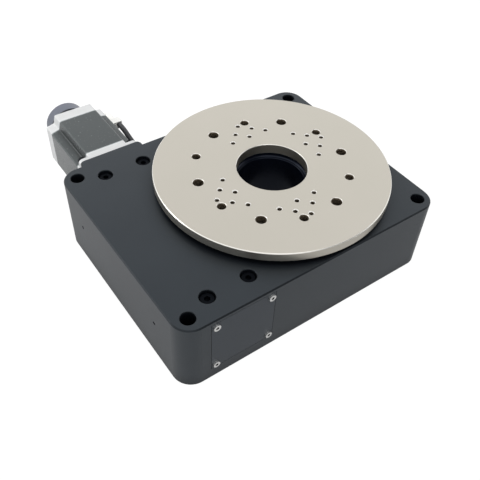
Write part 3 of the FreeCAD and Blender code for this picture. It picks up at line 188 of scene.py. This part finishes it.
def brightScrew(name, colour, roughness):
    # zinc plated steel: bright and even, with painted shade in the socket
    material, tree, shader, place = newMaterial(name, colour, metallic=1.0, roughness=roughness)
    # the passivated zinc has clouds of 1 mm
    cloud = addNode(tree, "ShaderNodeTexNoise", [("Vector", place, "Object")], Scale=900.0, Detail=2.0)
    # painted shade: the socket is darkened where its walls crowd in
    socket = closeness(tree, reach=1.5 * mm, starts=0.85, full=0.45, only_local=True)
    mixOver(tree, shader, socket, 0, "#101113")
    varyRoughness(tree, shader, cloud, 0, roughness - 0.06, roughness + 0.06)
    return material


def blackOxide(name, colour, metallic, roughness, shine):
    # alloy steel, quenched and oiled: nearly black with a dull gleam
    material, tree, shader, place = newMaterial(name, colour, metallic=metallic, roughness=roughness)
    # oil in the oxide takes most of the shine and turns the rest cool
    shader.inputs["Specular IOR Level"].default_value = shine
    shader.inputs["Specular Tint"].default_value = hexColour("#ccd8ee")
    # the oxide's crystals are far finer, and its grain is drawn 0.6 mm wide so that it shows
    grain = addNode(tree, "ShaderNodeTexNoise", [("Vector", place, "Object")], Scale=1600.0, Detail=2.0)
    varyRoughness(tree, shader, grain, 0, roughness - 0.1, roughness + 0.1)
    return material


def castAluminium(name, dark, light, roughness):
    # die cast and tumbled: pale and dull, with a fine uneven skin
    material, tree, shader, place = newMaterial(name, light, metallic=0.75, roughness=roughness)
    # the tumbling stones leave dents of 1.4 mm, and the flow of the casting clouds of 17 mm
    skin = addNode(tree, "ShaderNodeTexNoise", [("Vector", place, "Object")], Scale=700.0, Detail=4.0)
    cloud = addNode(tree, "ShaderNodeTexNoise", [("Vector", place, "Object")], Scale=60.0, Detail=2.0)
    varyColour(tree, shader, cloud, 0, dark, light)
    varyRoughness(tree, shader, skin, 0, roughness - 0.08, roughness + 0.08)
    addBump(tree, shader, skin, 0, 0.03 * mm)
    return material


def paintedLaminations(name, dark, light, roughness):
    # a stack of 0.5 mm steel sheets under thin paint: dark and smooth with fine lines across,
    # drawn 1 mm apart so that they show
    material, tree, shader, place = newMaterial(name, light, metallic=0.35, roughness=roughness)
    sheets = addNode(
        tree,
        "ShaderNodeTexWave",
        [("Vector", place, "Object")],
        bands_direction="Y",
        Scale=314.0,
        Distortion=0.4,
        Detail=1.0,
    )
    # sprayed paint has a skin of 2 mm waves
    skin = addNode(tree, "ShaderNodeTexNoise", [("Vector", place, "Object")], Scale=500.0, Detail=3.0)
    varyColour(tree, shader, skin, 0, dark, light)
    # painted shade darkens the long grooves, and a painted highlight lightens the long edges
    grooveShade = closeness(tree, reach=10 * mm, starts=0.97, full=0.7, only_local=True)
    mixOver(tree, shader, grooveShade, 0, "#14191a")
    # painted highlight: the long convex edges are lightened
    paintedEdge = closeness(tree, reach=1.6 * mm, starts=0.9, full=0.66, only_local=True, inside=True)
    mixOver(tree, shader, paintedEdge, 0, "#b9bfc0")
    varyRoughness(tree, shader, skin, 0, roughness - 0.02, roughness + 0.03)
    lines = addBump(tree, shader, sheets, "Fac", 0.03 * mm)
    addBump(tree, shader, skin, 0, 0.02 * mm, lines)
    return material


def cutThread(name, colour, roughness):
    # tapped with a cutting oil that stays in the grooves: brownish and half bright
    material, tree, shader, place = newMaterial(name, colour, metallic=1.0, roughness=roughness)
    # the oil stands in patches of 2 mm
    oil = addNode(tree, "ShaderNodeTexNoise", [("Vector", place, "Object")], Scale=500.0, Detail=3.0)
    varyRoughness(tree, shader, oil, 0, roughness - 0.12, roughness + 0.12)
    return material


def highlightedMouth(name, colour, roughness):
    # near white steel for the countersunk mouths: a painted highlight, brighter than the face round it
    material, tree, shader, place = newMaterial(name, colour, metallic=1.0, roughness=roughness)
    # the tool leaves chatter marks 0.7 mm apart
    chatter = addNode(tree, "ShaderNodeTexNoise", [("Vector", place, "Object")], Scale=1500.0, Detail=2.0)
    varyRoughness(tree, shader, chatter, 0, roughness - 0.08, roughness + 0.08)
    return material


# the knob's rounded edges, where shade is painted, face its axis by 0.2 to 0.8, its flat faces by 1 and its
# rim by 0
knobEdges = {"middle": 0.5, "zeroAt": 0.3, "oneAt": 0.48}


def turnedAnodising(name, colour, paintedEdge, roughness):
    # aluminium, turned and anodised grey: light fans out over the flat faces, and painted shade darkens the
    # rounded edges
    material, tree, shader, place = newMaterial(name, colour, metallic=0.6, roughness=roughness)
    varyColour(tree, shader, apartFrom(tree, facing(tree, place, "Y"), **knobEdges), 0, paintedEdge, colour)
    shader.inputs["Anisotropic"].default_value = 0.8
    turned = addNode(tree, "ShaderNodeTangent", direction_type="RADIAL", axis="Y")
    tree.links.new(turned.outputs[0], shader.inputs["Tangent"])
    return material


def mouldedNylon(name, colour, roughness):
    # injection moulded: half dull, with the fine grain of a spark eroded mould, drawn 0.7 mm wide to show
    material, tree, shader, place = newMaterial(name, colour, metallic=0.0, roughness=roughness)
    grain = addNode(tree, "ShaderNodeTexNoise", [("Vector", place, "Object")], Scale=1500.0, Detail=2.0)
    addBump(tree, shader, grain, 0, 0.02 * mm)
    return material


def softRubber(name, colour, roughness):
    # pressed rubber or soft PVC: dull, with a faint bloom in 3 mm clouds
    material, tree, shader, place = newMaterial(name, colour, metallic=0.0, roughness=roughness)
    bloom = addNode(tree, "ShaderNodeTexNoise", [("Vector", place, "Object")], Scale=300.0, Detail=3.0)
    varyRoughness(tree, shader, bloom, 0, roughness - 0.08, roughness + 0.1)
    addBump(tree, shader, bloom, 0, 0.03 * mm)
    return material


def woundCopper(name, dark, light, roughness):
    # 0.4 mm enamelled wire laid side by side: red brown with glossy ribs, drawn 0.8 mm thick to show
    material, tree, shader, place = newMaterial(name, light, metallic=0.9, roughness=roughness)
    wires = addNode(
        tree,
        "ShaderNodeTexWave",
        [("Vector", place, "Object")],
        bands_direction="Y",
        Scale=390.0,
        Distortion=1.5,
        Detail=1.0,
    )
    # painted shade: the colour is darker in the grooves between the wires, where the bump is low
    varyColour(tree, shader, wires, "Fac", dark, light)
    addBump(tree, shader, wires, "Fac", 0.2 * mm)
    return material


def hobbedBronze(name, dark, light, roughness):
    # tin bronze, cut and run in: golden brown, with darker oil stains of 8 mm
    material, tree, shader, place = newMaterial(name, light, metallic=1.0, roughness=roughness)
    stain = addNode(tree, "ShaderNodeTexNoise", [("Vector", place, "Object")], Scale=120.0, Detail=4.0)
    varyColour(tree, shader, stain, 0, dark, light)
    varyRoughness(tree, shader, stain, 0, roughness - 0.05, roughness + 0.12)
    return material


# camera: place, lens, sensor and nearest distance in millimetres, directions in degrees
camera = {
    "place": (-270.7, -317.1, 420.7),
    "bearing": 37.245,
    "down": 45.991,
    "roll": 3.004,
    "lens": 47.70,
    "sensor": 36,
    "nearest": 10,
}


def placeCamera():
    bearing, down, roll = (math.radians(camera[name]) for name in ("bearing", "down", "roll"))
    ahead = Vector((math.sin(bearing) * math.cos(down), math.cos(bearing) * math.cos(down), -math.sin(down)))
    level = Vector((math.cos(bearing), -math.sin(bearing), 0))
    upward = level.cross(ahead)
    right = level * math.cos(roll) + upward * math.sin(roll)
    top = right.cross(ahead)
    data = bpy.data.cameras.new("photoCamera")
    data.lens = camera["lens"]
    data.sensor_width = camera["sensor"]
    data.clip_start = camera["nearest"] * mm
    photoCamera = bpy.data.objects.new("photoCamera", data)
    turn = Matrix((right, top, -ahead)).transposed().to_4x4()
    photoCamera.matrix_world = Matrix.Translation(Vector(camera["place"]) * mm) @ turn
    bpy.context.scene.collection.objects.link(photoCamera)
    bpy.context.scene.camera = photoCamera


placeCamera()
print("camera placed")

# motor lead, from the plug on the motor into its grommet, in millimetres
motorLead = {
    "diameter": 5.0,
    "length": 62.0,
    "route": [
        (-62.5, 160.0, 50.0),
        (-62.5, 151.0, 50.0),
        (-62.0, 140.0, 45.0),
        (-59.3, 127.0, 37.8),
        (-57.0, 113.0, 30.0),
        (-57.0, 103.0, 30.0),
    ],
    "order": 3,
    "pointsBetween": 12,
    "roundness": 6,
}


def makeMotorLead(material):
    data = bpy.data.curves.new("motorLead", "CURVE")
    data.dimensions = "3D"
    line = data.splines.new("NURBS")
    line.points.add(len(motorLead["route"]) - 1)
    for point, place in zip(line.points, motorLead["route"]):
        point.co = (*[value * mm for value in place], 1)
    line.order_u = motorLead["order"]
    line.use_endpoint_u = True
    line.resolution_u = motorLead["pointsBetween"]
    data.bevel_depth = motorLead["diameter"] / 2 * mm
    data.bevel_resolution = motorLead["roundness"]
    data.use_fill_caps = True
    data.materials.append(material)
    lead = bpy.data.objects.new("motorLead", data)
    bpy.context.scene.collection.objects.link(lead)
    return lead


# floor and sky, sizes in metres; gapInner and gapOuter are cosines of the angle to the dark gap's middle
studio = {
    "floorSize": 6.0,
    "floorHeight": -0.0002,  # just under the base, so that the two don't flicker
    "floorColour": "#f4f4f4",
    "floorGlow": 0.9,  # share of glow in the paper that the camera sees
    "glowStrength": 1.06,
    "floorGlowForGloss": 0.5,
    "glowStrengthForGloss": 0.6,
    "skyForObject": 0.5,  # what dull surfaces get from the sky
    "glossAtHorizon": 1.3,
    "glossAtZenith": 0.9,
    "gapToward": (0.42, -0.72, 0.55),
    "gapInner": 0.97,
    "gapOuter": 0.87,
    "gapLevel": 0.2,  # share of the tent's light left in the gap
}
# lamps, places and sizes in metres, power in watts, all turned to one target
lampTarget = (0, 0, 0.04)
lamps = {
    "keyLeft": {"place": (-1.1, -1.1, 1.0), "size": 1.2, "power": 6.5, "inGloss": False},
    "backLeft": {"place": (-1.6, 1.2, 0.9), "size": 0.7, "power": 5.0, "inGloss": True},
    "backNear": {"place": (-0.1, 0.62, 0.36), "size": 0.3, "power": 2.8, "inGloss": False},
    "fillRight": {"place": (1.0, -1.6, 1.1), "size": 1.6, "power": 5.0, "inGloss": False},
    "topSoft": {"place": (0.3, -0.5, 2.0), "size": 1.2, "power": 6.0, "inGloss": True},
}


def makeFloor():
    material = bpy.data.materials.new("paperFloor")
    material.use_nodes = True
    tree = material.node_tree
    tree.nodes.clear()
    paper = addNode(tree, "ShaderNodeBsdfDiffuse")
    paper.inputs["Color"].default_value = hexColour(studio["floorColour"])
    # glowing paper to the camera and, weaker, in gloss and glass; plain paper to all other light
    ray = addNode(tree, "ShaderNodeLightPath")
    strength = addNode(
        tree,
        "ShaderNodeMapRange",
        [("Value", ray, "Is Camera Ray")],
        To_Min=studio["glowStrengthForGloss"],
        To_Max=studio["glowStrength"],
    )
    glow = addNode(tree, "ShaderNodeEmission", [("Strength", strength, 0)])
    seen = addNode(
        tree,
        "ShaderNodeMath",
        [(0, ray, "Is Camera Ray"), (1, ray, "Is Glossy Ray")],
        operation="MAXIMUM",
    )
    either = addNode(
        tree,
        "ShaderNodeMath",
        [(0, seen, 0), (1, ray, "Is Transmission Ray")],
        operation="MAXIMUM",
    )
    part = addNode(
        tree,
        "ShaderNodeMapRange",
        [("Value", ray, "Is Camera Ray")],
        To_Min=studio["floorGlowForGloss"],
        To_Max=studio["floorGlow"],
    )
    share = addNode(tree, "ShaderNodeMath", [(0, either, 0), (1, part, 0)], operation="MULTIPLY")
    mix = addNode(tree, "ShaderNodeMixShader", [(0, share, 0), (1, paper, 0), (2, glow, 0)])
    addNode(tree, "ShaderNodeOutputMaterial", [("Surface", mix, 0)])
    bpy.ops.mesh.primitive_plane_add(size=studio["floorSize"], location=(0, 0, studio["floorHeight"]))
    floor = bpy.context.object
    floor.name = "paperFloor"
    floor.data.materials.append(material)


def makeSky():
    # white to the camera; in gloss a paper tent, darker overhead, with the small gap high in its front
    world = bpy.data.worlds.new("studioSky")
    world.use_nodes = True
    tree = world.node_tree
    tree.nodes.clear()
    ray = addNode(tree, "ShaderNodeLightPath")
    place = addNode(tree, "ShaderNodeTexCoord")
    split = addNode(tree, "ShaderNodeSeparateXYZ", [("Vector", place, "Generated")])
    tent = addNode(
        tree,
        "ShaderNodeMapRange",
        [("Value", split, "Z")],
        To_Min=studio["glossAtHorizon"],
        To_Max=studio["glossAtZenith"],
    )
    toward = addNode(
        tree,
        "ShaderNodeVectorMath",
        [(0, place, "Generated")],
        operation="DOT_PRODUCT",
        in1=studio["gapToward"],
    )
    gap = addNode(
        tree,
        "ShaderNodeMapRange",
        [("Value", toward, "Value")],
        From_Min=studio["gapOuter"],
        From_Max=studio["gapInner"],
        To_Min=1.0,
        To_Max=studio["gapLevel"],
    )
    opened = addNode(tree, "ShaderNodeMath", [(0, tent, 0), (1, gap, 0)], operation="MULTIPLY")
    gloss = addNode(
        tree,
        "ShaderNodeMath",
        [(0, ray, "Is Glossy Ray"), (1, ray, "Is Transmission Ray")],
        operation="MAXIMUM",
    )
    level = addNode(
        tree,
        "ShaderNodeMix",
        [(0, gloss, 0), (3, opened, 0)],
        data_type="FLOAT",
        in2=studio["skyForObject"],
    )
    whole = addNode(tree, "ShaderNodeMath", [(0, ray, "Is Camera Ray"), (1, level, 0)], operation="MAXIMUM")
    sky = addNode(tree, "ShaderNodeBackground", [("Strength", whole, 0)])
    addNode(tree, "ShaderNodeOutputWorld", [("Surface", sky, 0)])
    sky.inputs["Color"].default_value = (1, 1, 1, 1)
    bpy.context.scene.world = world


def makeLamps():
    for name, lamp in lamps.items():
        data = bpy.data.lights.new(name, "AREA")
        data.size = lamp["size"]
        data.energy = lamp["power"]
        light = bpy.data.objects.new(name, data)
        light.location = lamp["place"]
        light.visible_glossy = lamp["inGloss"]
        ahead = Vector(lampTarget) - light.location
        light.rotation_euler = ahead.to_track_quat("-Z", "Y").to_euler()
        bpy.context.scene.collection.objects.link(light)


makeFloor()
makeSky()
makeLamps()
bpy.context.scene.view_settings.view_transform = "Standard"
print("floor, sky and lamps made")

# finishes of the object
baseBlack = blastedAnodising("blastedAnodisedBase", "#23262a", "#2a2e32", roughness=0.38)
coverBlack = blastedAnodising("blastedAnodisedCover", "#262a30", "#2c3036", roughness=0.36)
tableNickel = turnedNickel("turnedNickelTable", "#c5c1b6", "#cac5bb", roughness=0.28)
spindleBlack = blackOxide("blackenedSpindle", "#0a0e19", metallic=0.2, roughness=0.22, shine=0.4)
bearingSteel = turnedSteel("groundBearingSteel", "#b9bbbd", roughness=0.18, axis="Z")
shaftSteel = turnedSteel("turnedShaftSteel", "#bfc0c1", roughness=0.25, axis="Y")
screwBlack = blackOxide("oiledScrewSteel", "#06080c", metallic=0.0, roughness=0.5, shine=0.08)
screwBright = brightScrew("brightScrewSteel", "#e8e8e6", roughness=0.3)
bellCast = castAluminium("tumbledCastBell", "#d2d3d4", "#dadbdb", roughness=0.45)
motorStack = paintedLaminations("paintedMotorStack", "#464b4c", "#4b5051", roughness=0.26)
rotorStack = paintedLaminations("groundRotorStack", "#6d6f70", "#7b7d7e", roughness=0.35)
coilCopper = woundCopper("enamelledCoilCopper", "#7c3a1c", "#b0603a", roughness=0.35)
wheelBronze = hobbedBronze("hobbedWheelBronze", "#9a7436", "#b98f4c", roughness=0.3)
milledAluminium = turnedSteel("milledInnerAluminium", "#b9babb", roughness=0.35, axis="Y")
knobGrey = turnedAnodising("turnedAnodisedKnob", "#6a6e79", "#2a2c30", roughness=0.3)
sensorBlack = mouldedNylon("mouldedBlackNylon", "#1c1d1f", roughness=0.45)
headerWhite = mouldedNylon("mouldedWhiteNylon", "#f0efeb", roughness=0.4)
plugWhite = mouldedNylon("mouldedPlugNylon", "#e6e6e3", roughness=0.42)
leadBlack = softRubber("softLeadSheath", "#36373a", roughness=0.4)
grommetBlack = softRubber("pressedGrommetRubber", "#121213", roughness=0.6)
spiderRed = softRubber("castSpiderRubber", "#9c2722", roughness=0.45)
threadSteel = cutThread("tappedThreadSteel", "#6f6557", roughness=0.42)
mouthSteel = highlightedMouth("countersunkSteel", "#f3f1ec", roughness=0.3)

finishes = {
    baseBlack: ["housing", "bottom_cover", "bearing_clamp_ring"],
    coverBlack: ["access_cover"],
    tableNickel: ["table"],
    spindleBlack: ["spindle"],
    bearingSteel: [
        "bearing_inner_ring", "bearing_outer_ring", "bearing_rollers",
        "worm_bearing_outer_front", "worm_bearing_outer_rear",
        "worm_bearing_inner_front", "worm_bearing_inner_rear",
        "motor_bearing_outer_front", "motor_bearing_outer_rear",
        "motor_bearing_inner_front", "motor_bearing_inner_rear",
    ],
    shaftSteel: ["worm_shaft", "motor_shaft", "control_socket"],
    screwBlack: [
        "bottom_cover_screws", "mesh_set_screws", "table_screws", "clamp_ring_screws", "wheel_screws",
        "worm_carrier_screws", "worm_lock_nut", "bearing_circlip", "motor_mounting_screws",
        "knob_set_screw", "sensor_screws", "flag_screw",
    ],
    screwBright: ["access_cover_screws", "motor_tie_screws", "control_socket_screws"],
    bellCast: ["motor_front_bell", "motor_rear_bell"],
    motorStack: ["motor_stator"],
    rotorStack: ["motor_rotor"],
    coilCopper: ["motor_windings"],
    wheelBronze: ["worm_wheel"],
    milledAluminium: [
        "worm_carrier", "bearing_preload_ring", "coupling_hub_worm", "coupling_hub_motor",
        "sensor_bracket", "sensor_flag",
    ],
    knobGrey: ["hand_knob"],
    sensorBlack: ["home_sensor"],
    headerWhite: ["motor_connector"],
    plugWhite: ["motor_plug"],
    leadBlack: ["motor_cable"],
    grommetBlack: ["cable_grommet"],
    spiderRed: ["coupling_spider"],
}


def dressNodes():
    dressed = set()
    for material, names in finishes.items():
        for name in names:
            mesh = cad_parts[name].data
            mesh.materials.clear()
            mesh.materials.append(material)
            dressed.add(name)
    print("bare nodes:", sorted(set(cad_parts) - dressed))


dressNodes()
print("nodes dressed")

# tapped holes of the table, in millimetres and degrees; radius is the drilled hole's and core the thread's
tappedHoles = {
    "top": 80.5,
    "depth": 8.0,
    "turn": -44.5,
    "gridPitch": 12.5,
    "gridHoles": [(1, 4), (2, 4), (3, 4), (2, 3), (3, 3), (3, 2)],
    "ringRadius": 65.0,
    "ringHoles": 12,
    "chamfer": 0.37,
    "footOverlap": 0.04,  # how far the sleeve's foot stands in the wall of the drilled hole
    "small": {"radius": 2.1, "core": 1.9, "lead": 0.7, "ridge": 0.2, "countersink": 0.34},
    "medium": {"radius": 3.75, "core": 3.45, "lead": 1.25, "ridge": 0.22, "countersink": 0.0},
    "large": {"radius": 4.5, "core": 4.25, "lead": 1.5, "ridge": 0.26, "countersink": 0.0},
    "mouthHighlightDepth": 3.0,  # depth of the painted highlight, in countersinks
    "sides": 18,  # of one turn of the thread, and half those of the sleeve
    "ridgeSides": 4,
}
holeKinds = ("small", "medium", "large")


def holePlaces():
    # a grid of small holes in each quarter, and medium and large ones in turn round the ring
    pitch, radius, count = (tappedHoles[name] for name in ("gridPitch", "ringRadius", "ringHoles"))
    places, kinds = [], []
    for column, row in tappedHoles["gridHoles"]:
        for x, y in ((1, 1), (1, -1), (-1, 1), (-1, -1)):
            places.append((x * column * pitch, y * row * pitch))
            kinds.append(holeKinds.index("small"))
    for index in range(count):
        angle = 2 * math.pi * index / count
        places.append((radius * math.cos(angle), radius * math.sin(angle)))
        kinds.append(holeKinds.index("large" if index % 2 else "medium"))
    turn = math.radians(tappedHoles["turn"])
    turned = [
        (x * math.cos(turn) - y * math.sin(turn), x * math.sin(turn) + y * math.cos(turn)) for x, y in places
    ]
    return [(x * mm, y * mm, tappedHoles["top"] * mm) for x, y in turned], kinds


def tappedHole(tree, start, kind):
    # a sleeve with a countersunk mouth, and a helical ridge below it
    names = ("radius", "core", "lead", "ridge", "countersink")
    radius, core, lead, ridgeRadius, countersink = (kind + " " + name for name in names)
    inner = addNode(tree, "ShaderNodeMath", [(0, start, core), (1, start, radius)], operation="SUBTRACT")
    reach = addNode(tree, "ShaderNodeMath", [(0, start, "chamfer"), (1, inner, 0)], operation="SUBTRACT")
    brim = addNode(
        tree,
        "ShaderNodeMath",
        [(0, start, "chamfer"), (1, start, countersink)],
        operation="SUBTRACT",
    )
    mouth = addNode(tree, "ShaderNodeCombineXYZ", [("X", start, countersink), ("Y", brim, 0)])
    throat = addNode(tree, "ShaderNodeCombineXYZ", [("X", inner, 0), ("Y", reach, 0)])
    innerFoot = addNode(tree, "ShaderNodeCombineXYZ", [("X", inner, 0), ("Y", start, "depth")])
    outerFoot = addNode(tree, "ShaderNodeCombineXYZ", [("X", start, "footOverlap"), ("Y", start, "depth")])
    section = addNode(
        tree,
        "GeometryNodeCurvePrimitiveQuadrilateral",
        [("Point 1", mouth, 0), ("Point 2", outerFoot, 0), ("Point 3", innerFoot, 0), ("Point 4", throat, 0)],
        mode="POINTS",
    )
    circle = addNode(
        tree,
        "GeometryNodeCurvePrimitiveCircle",
        [("Radius", start, radius)],
        mode="RADIUS",
        Resolution=2 * tappedHoles["sides"],
    )
    sleeve = addNode(tree, "GeometryNodeCurveToMesh", [("Curve", circle, 0), ("Profile Curve", section, 0)])
    length = addNode(tree, "ShaderNodeMath", [(0, start, "depth"), (1, reach, 0)], operation="SUBTRACT")
    turns = addNode(tree, "ShaderNodeMath", [(0, length, 0), (1, start, lead)], operation="DIVIDE")
    down = addNode(tree, "ShaderNodeMath", [(0, length, 0)], operation="MULTIPLY", in1=-1.0)
    spiral = addNode(
        tree,
        "GeometryNodeCurveSpiral",
        [
            ("Rotations", turns, 0),
            ("Start Radius", start, core),
            ("End Radius", start, core),
            ("Height", down, 0),
        ],
        Resolution=tappedHoles["sides"],
        Reverse=True,
    )
    tooth = addNode(
        tree,
        "GeometryNodeCurvePrimitiveCircle",
        [("Radius", start, ridgeRadius)],
        mode="RADIUS",
        Resolution=tappedHoles["ridgeSides"],
    )
    ridge = addNode(
        tree,
        "GeometryNodeCurveToMesh",
        [("Curve", spiral, 0), ("Profile Curve", tooth, 0)],
        Fill_Caps=True,
    )
    fall = addNode(tree, "ShaderNodeMath", [(0, reach, 0)], operation="MULTIPLY", in1=-1.0)
    shift = addNode(tree, "ShaderNodeCombineXYZ", [("Z", fall, 0)])
    lowered = addNode(tree, "GeometryNodeTransform", [("Geometry", ridge, 0), ("Translation", shift, 0)])
    hole = addNode(tree, "GeometryNodeJoinGeometry", [(0, sleeve, 0)])
    tree.links.new(lowered.outputs[0], hole.inputs[0])
    place = addNode(tree, "GeometryNodeInputPosition")
    split = addNode(tree, "ShaderNodeSeparateXYZ", [("Vector", place, 0)])
    # painted highlight: where there is a countersink, its cone and the first turn under it take the near
    # white mouth finish
    below = addNode(
        tree,
        "ShaderNodeMath",
        [(0, start, countersink)],
        operation="MULTIPLY",
        in1=-tappedHoles["mouthHighlightDepth"],
    )
    high = addNode(
        tree,
        "FunctionNodeCompare",
        [(0, split, "Z"), (1, below, 0)],
        data_type="FLOAT",
        operation="GREATER_THAN",
    )
    return addNode(
        tree,
        "GeometryNodeStoreNamedAttribute",
        [("Geometry", hole, 0), ("Value", high, 0)],
        data_type="BOOLEAN",
        domain="FACE",
        Name="mouth",
    )


def holeValues():
    # the tree's named inputs and their sizes in metres
    values = {name: tappedHoles[name] * mm for name in ("depth", "chamfer", "footOverlap")}
    for kind in holeKinds:
        for name, value in tappedHoles[kind].items():
            values[kind + " " + name] = value * mm
    return values


def holeTree(threadMaterial, mouthMaterial):
    tree = bpy.data.node_groups.new("tappedHoles", "GeometryNodeTree")
    tree.interface.new_socket("Geometry", in_out="INPUT", socket_type="NodeSocketGeometry")
    tree.interface.new_socket("Geometry", in_out="OUTPUT", socket_type="NodeSocketGeometry")
    for name in holeValues():
        tree.interface.new_socket(name, in_out="INPUT", socket_type="NodeSocketFloat")
    start = addNode(tree, "NodeGroupInput")
    kinds = addNode(tree, "GeometryNodeInputNamedAttribute", data_type="INT", Name="kind")
    joined = addNode(tree, "GeometryNodeJoinGeometry")
    for number, kind in enumerate(holeKinds):
        hole = tappedHole(tree, start, kind)
        chosen = addNode(
            tree,
            "FunctionNodeCompare",
            [(2, kinds, 0)],
            data_type="INT",
            operation="EQUAL",
            in3=number,
        )
        places = [("Points", start, "Geometry"), ("Selection", chosen, 0), ("Instance", hole, 0)]
        placed = addNode(tree, "GeometryNodeInstanceOnPoints", places)
        tree.links.new(placed.outputs[0], joined.inputs[0])
    real = addNode(tree, "GeometryNodeRealizeInstances", [(0, joined, 0)])
    cut = addNode(tree, "GeometryNodeSetMaterial", [("Geometry", real, 0)], Material=threadMaterial)
    mouths = addNode(tree, "GeometryNodeInputNamedAttribute", data_type="BOOLEAN", Name="mouth")
    finished = addNode(
        tree,
        "GeometryNodeSetMaterial",
        [("Geometry", cut, 0), ("Selection", mouths, 0)],
        Material=mouthMaterial,
    )
    addNode(tree, "NodeGroupOutput", [(0, finished, 0)])
    return tree


def makeTappedHoles(threadMaterial, mouthMaterial):
    places, kinds = holePlaces()
    mesh = bpy.data.meshes.new("holePlaces")
    mesh.from_pydata(places, [], [])
    mesh.attributes.new("kind", "INT", "POINT").data.foreach_set("value", kinds)
    holes = bpy.data.objects.new("tappedHoles", mesh)
    bpy.context.scene.collection.objects.link(holes)
    modifier = holes.modifiers.new("tappedHoles", "NODES")
    modifier.node_group = holeTree(threadMaterial, mouthMaterial)
    values = holeValues()
    # the modifier knows its inputs by identifier, not by name
    for socket in modifier.node_group.interface.items_tree:
        if socket.in_out == "INPUT" and socket.name in values:
            modifier[socket.identifier] = values[socket.name]
    evaluated = holes.evaluated_get(bpy.context.evaluated_depsgraph_get())
    solid = bpy.data.meshes.new_from_object(evaluated)
    holes.modifiers.clear()
    holes.data = solid
    print("faces in the tapped holes:", len(solid.polygons))
    return holes


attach(makeTappedHoles(threadSteel, mouthSteel), "turntable")
print("table holes tapped")

lead = makeMotorLead(leadBlack)
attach(lead, "base")
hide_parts("motor_cable")
print("motor lead laid")
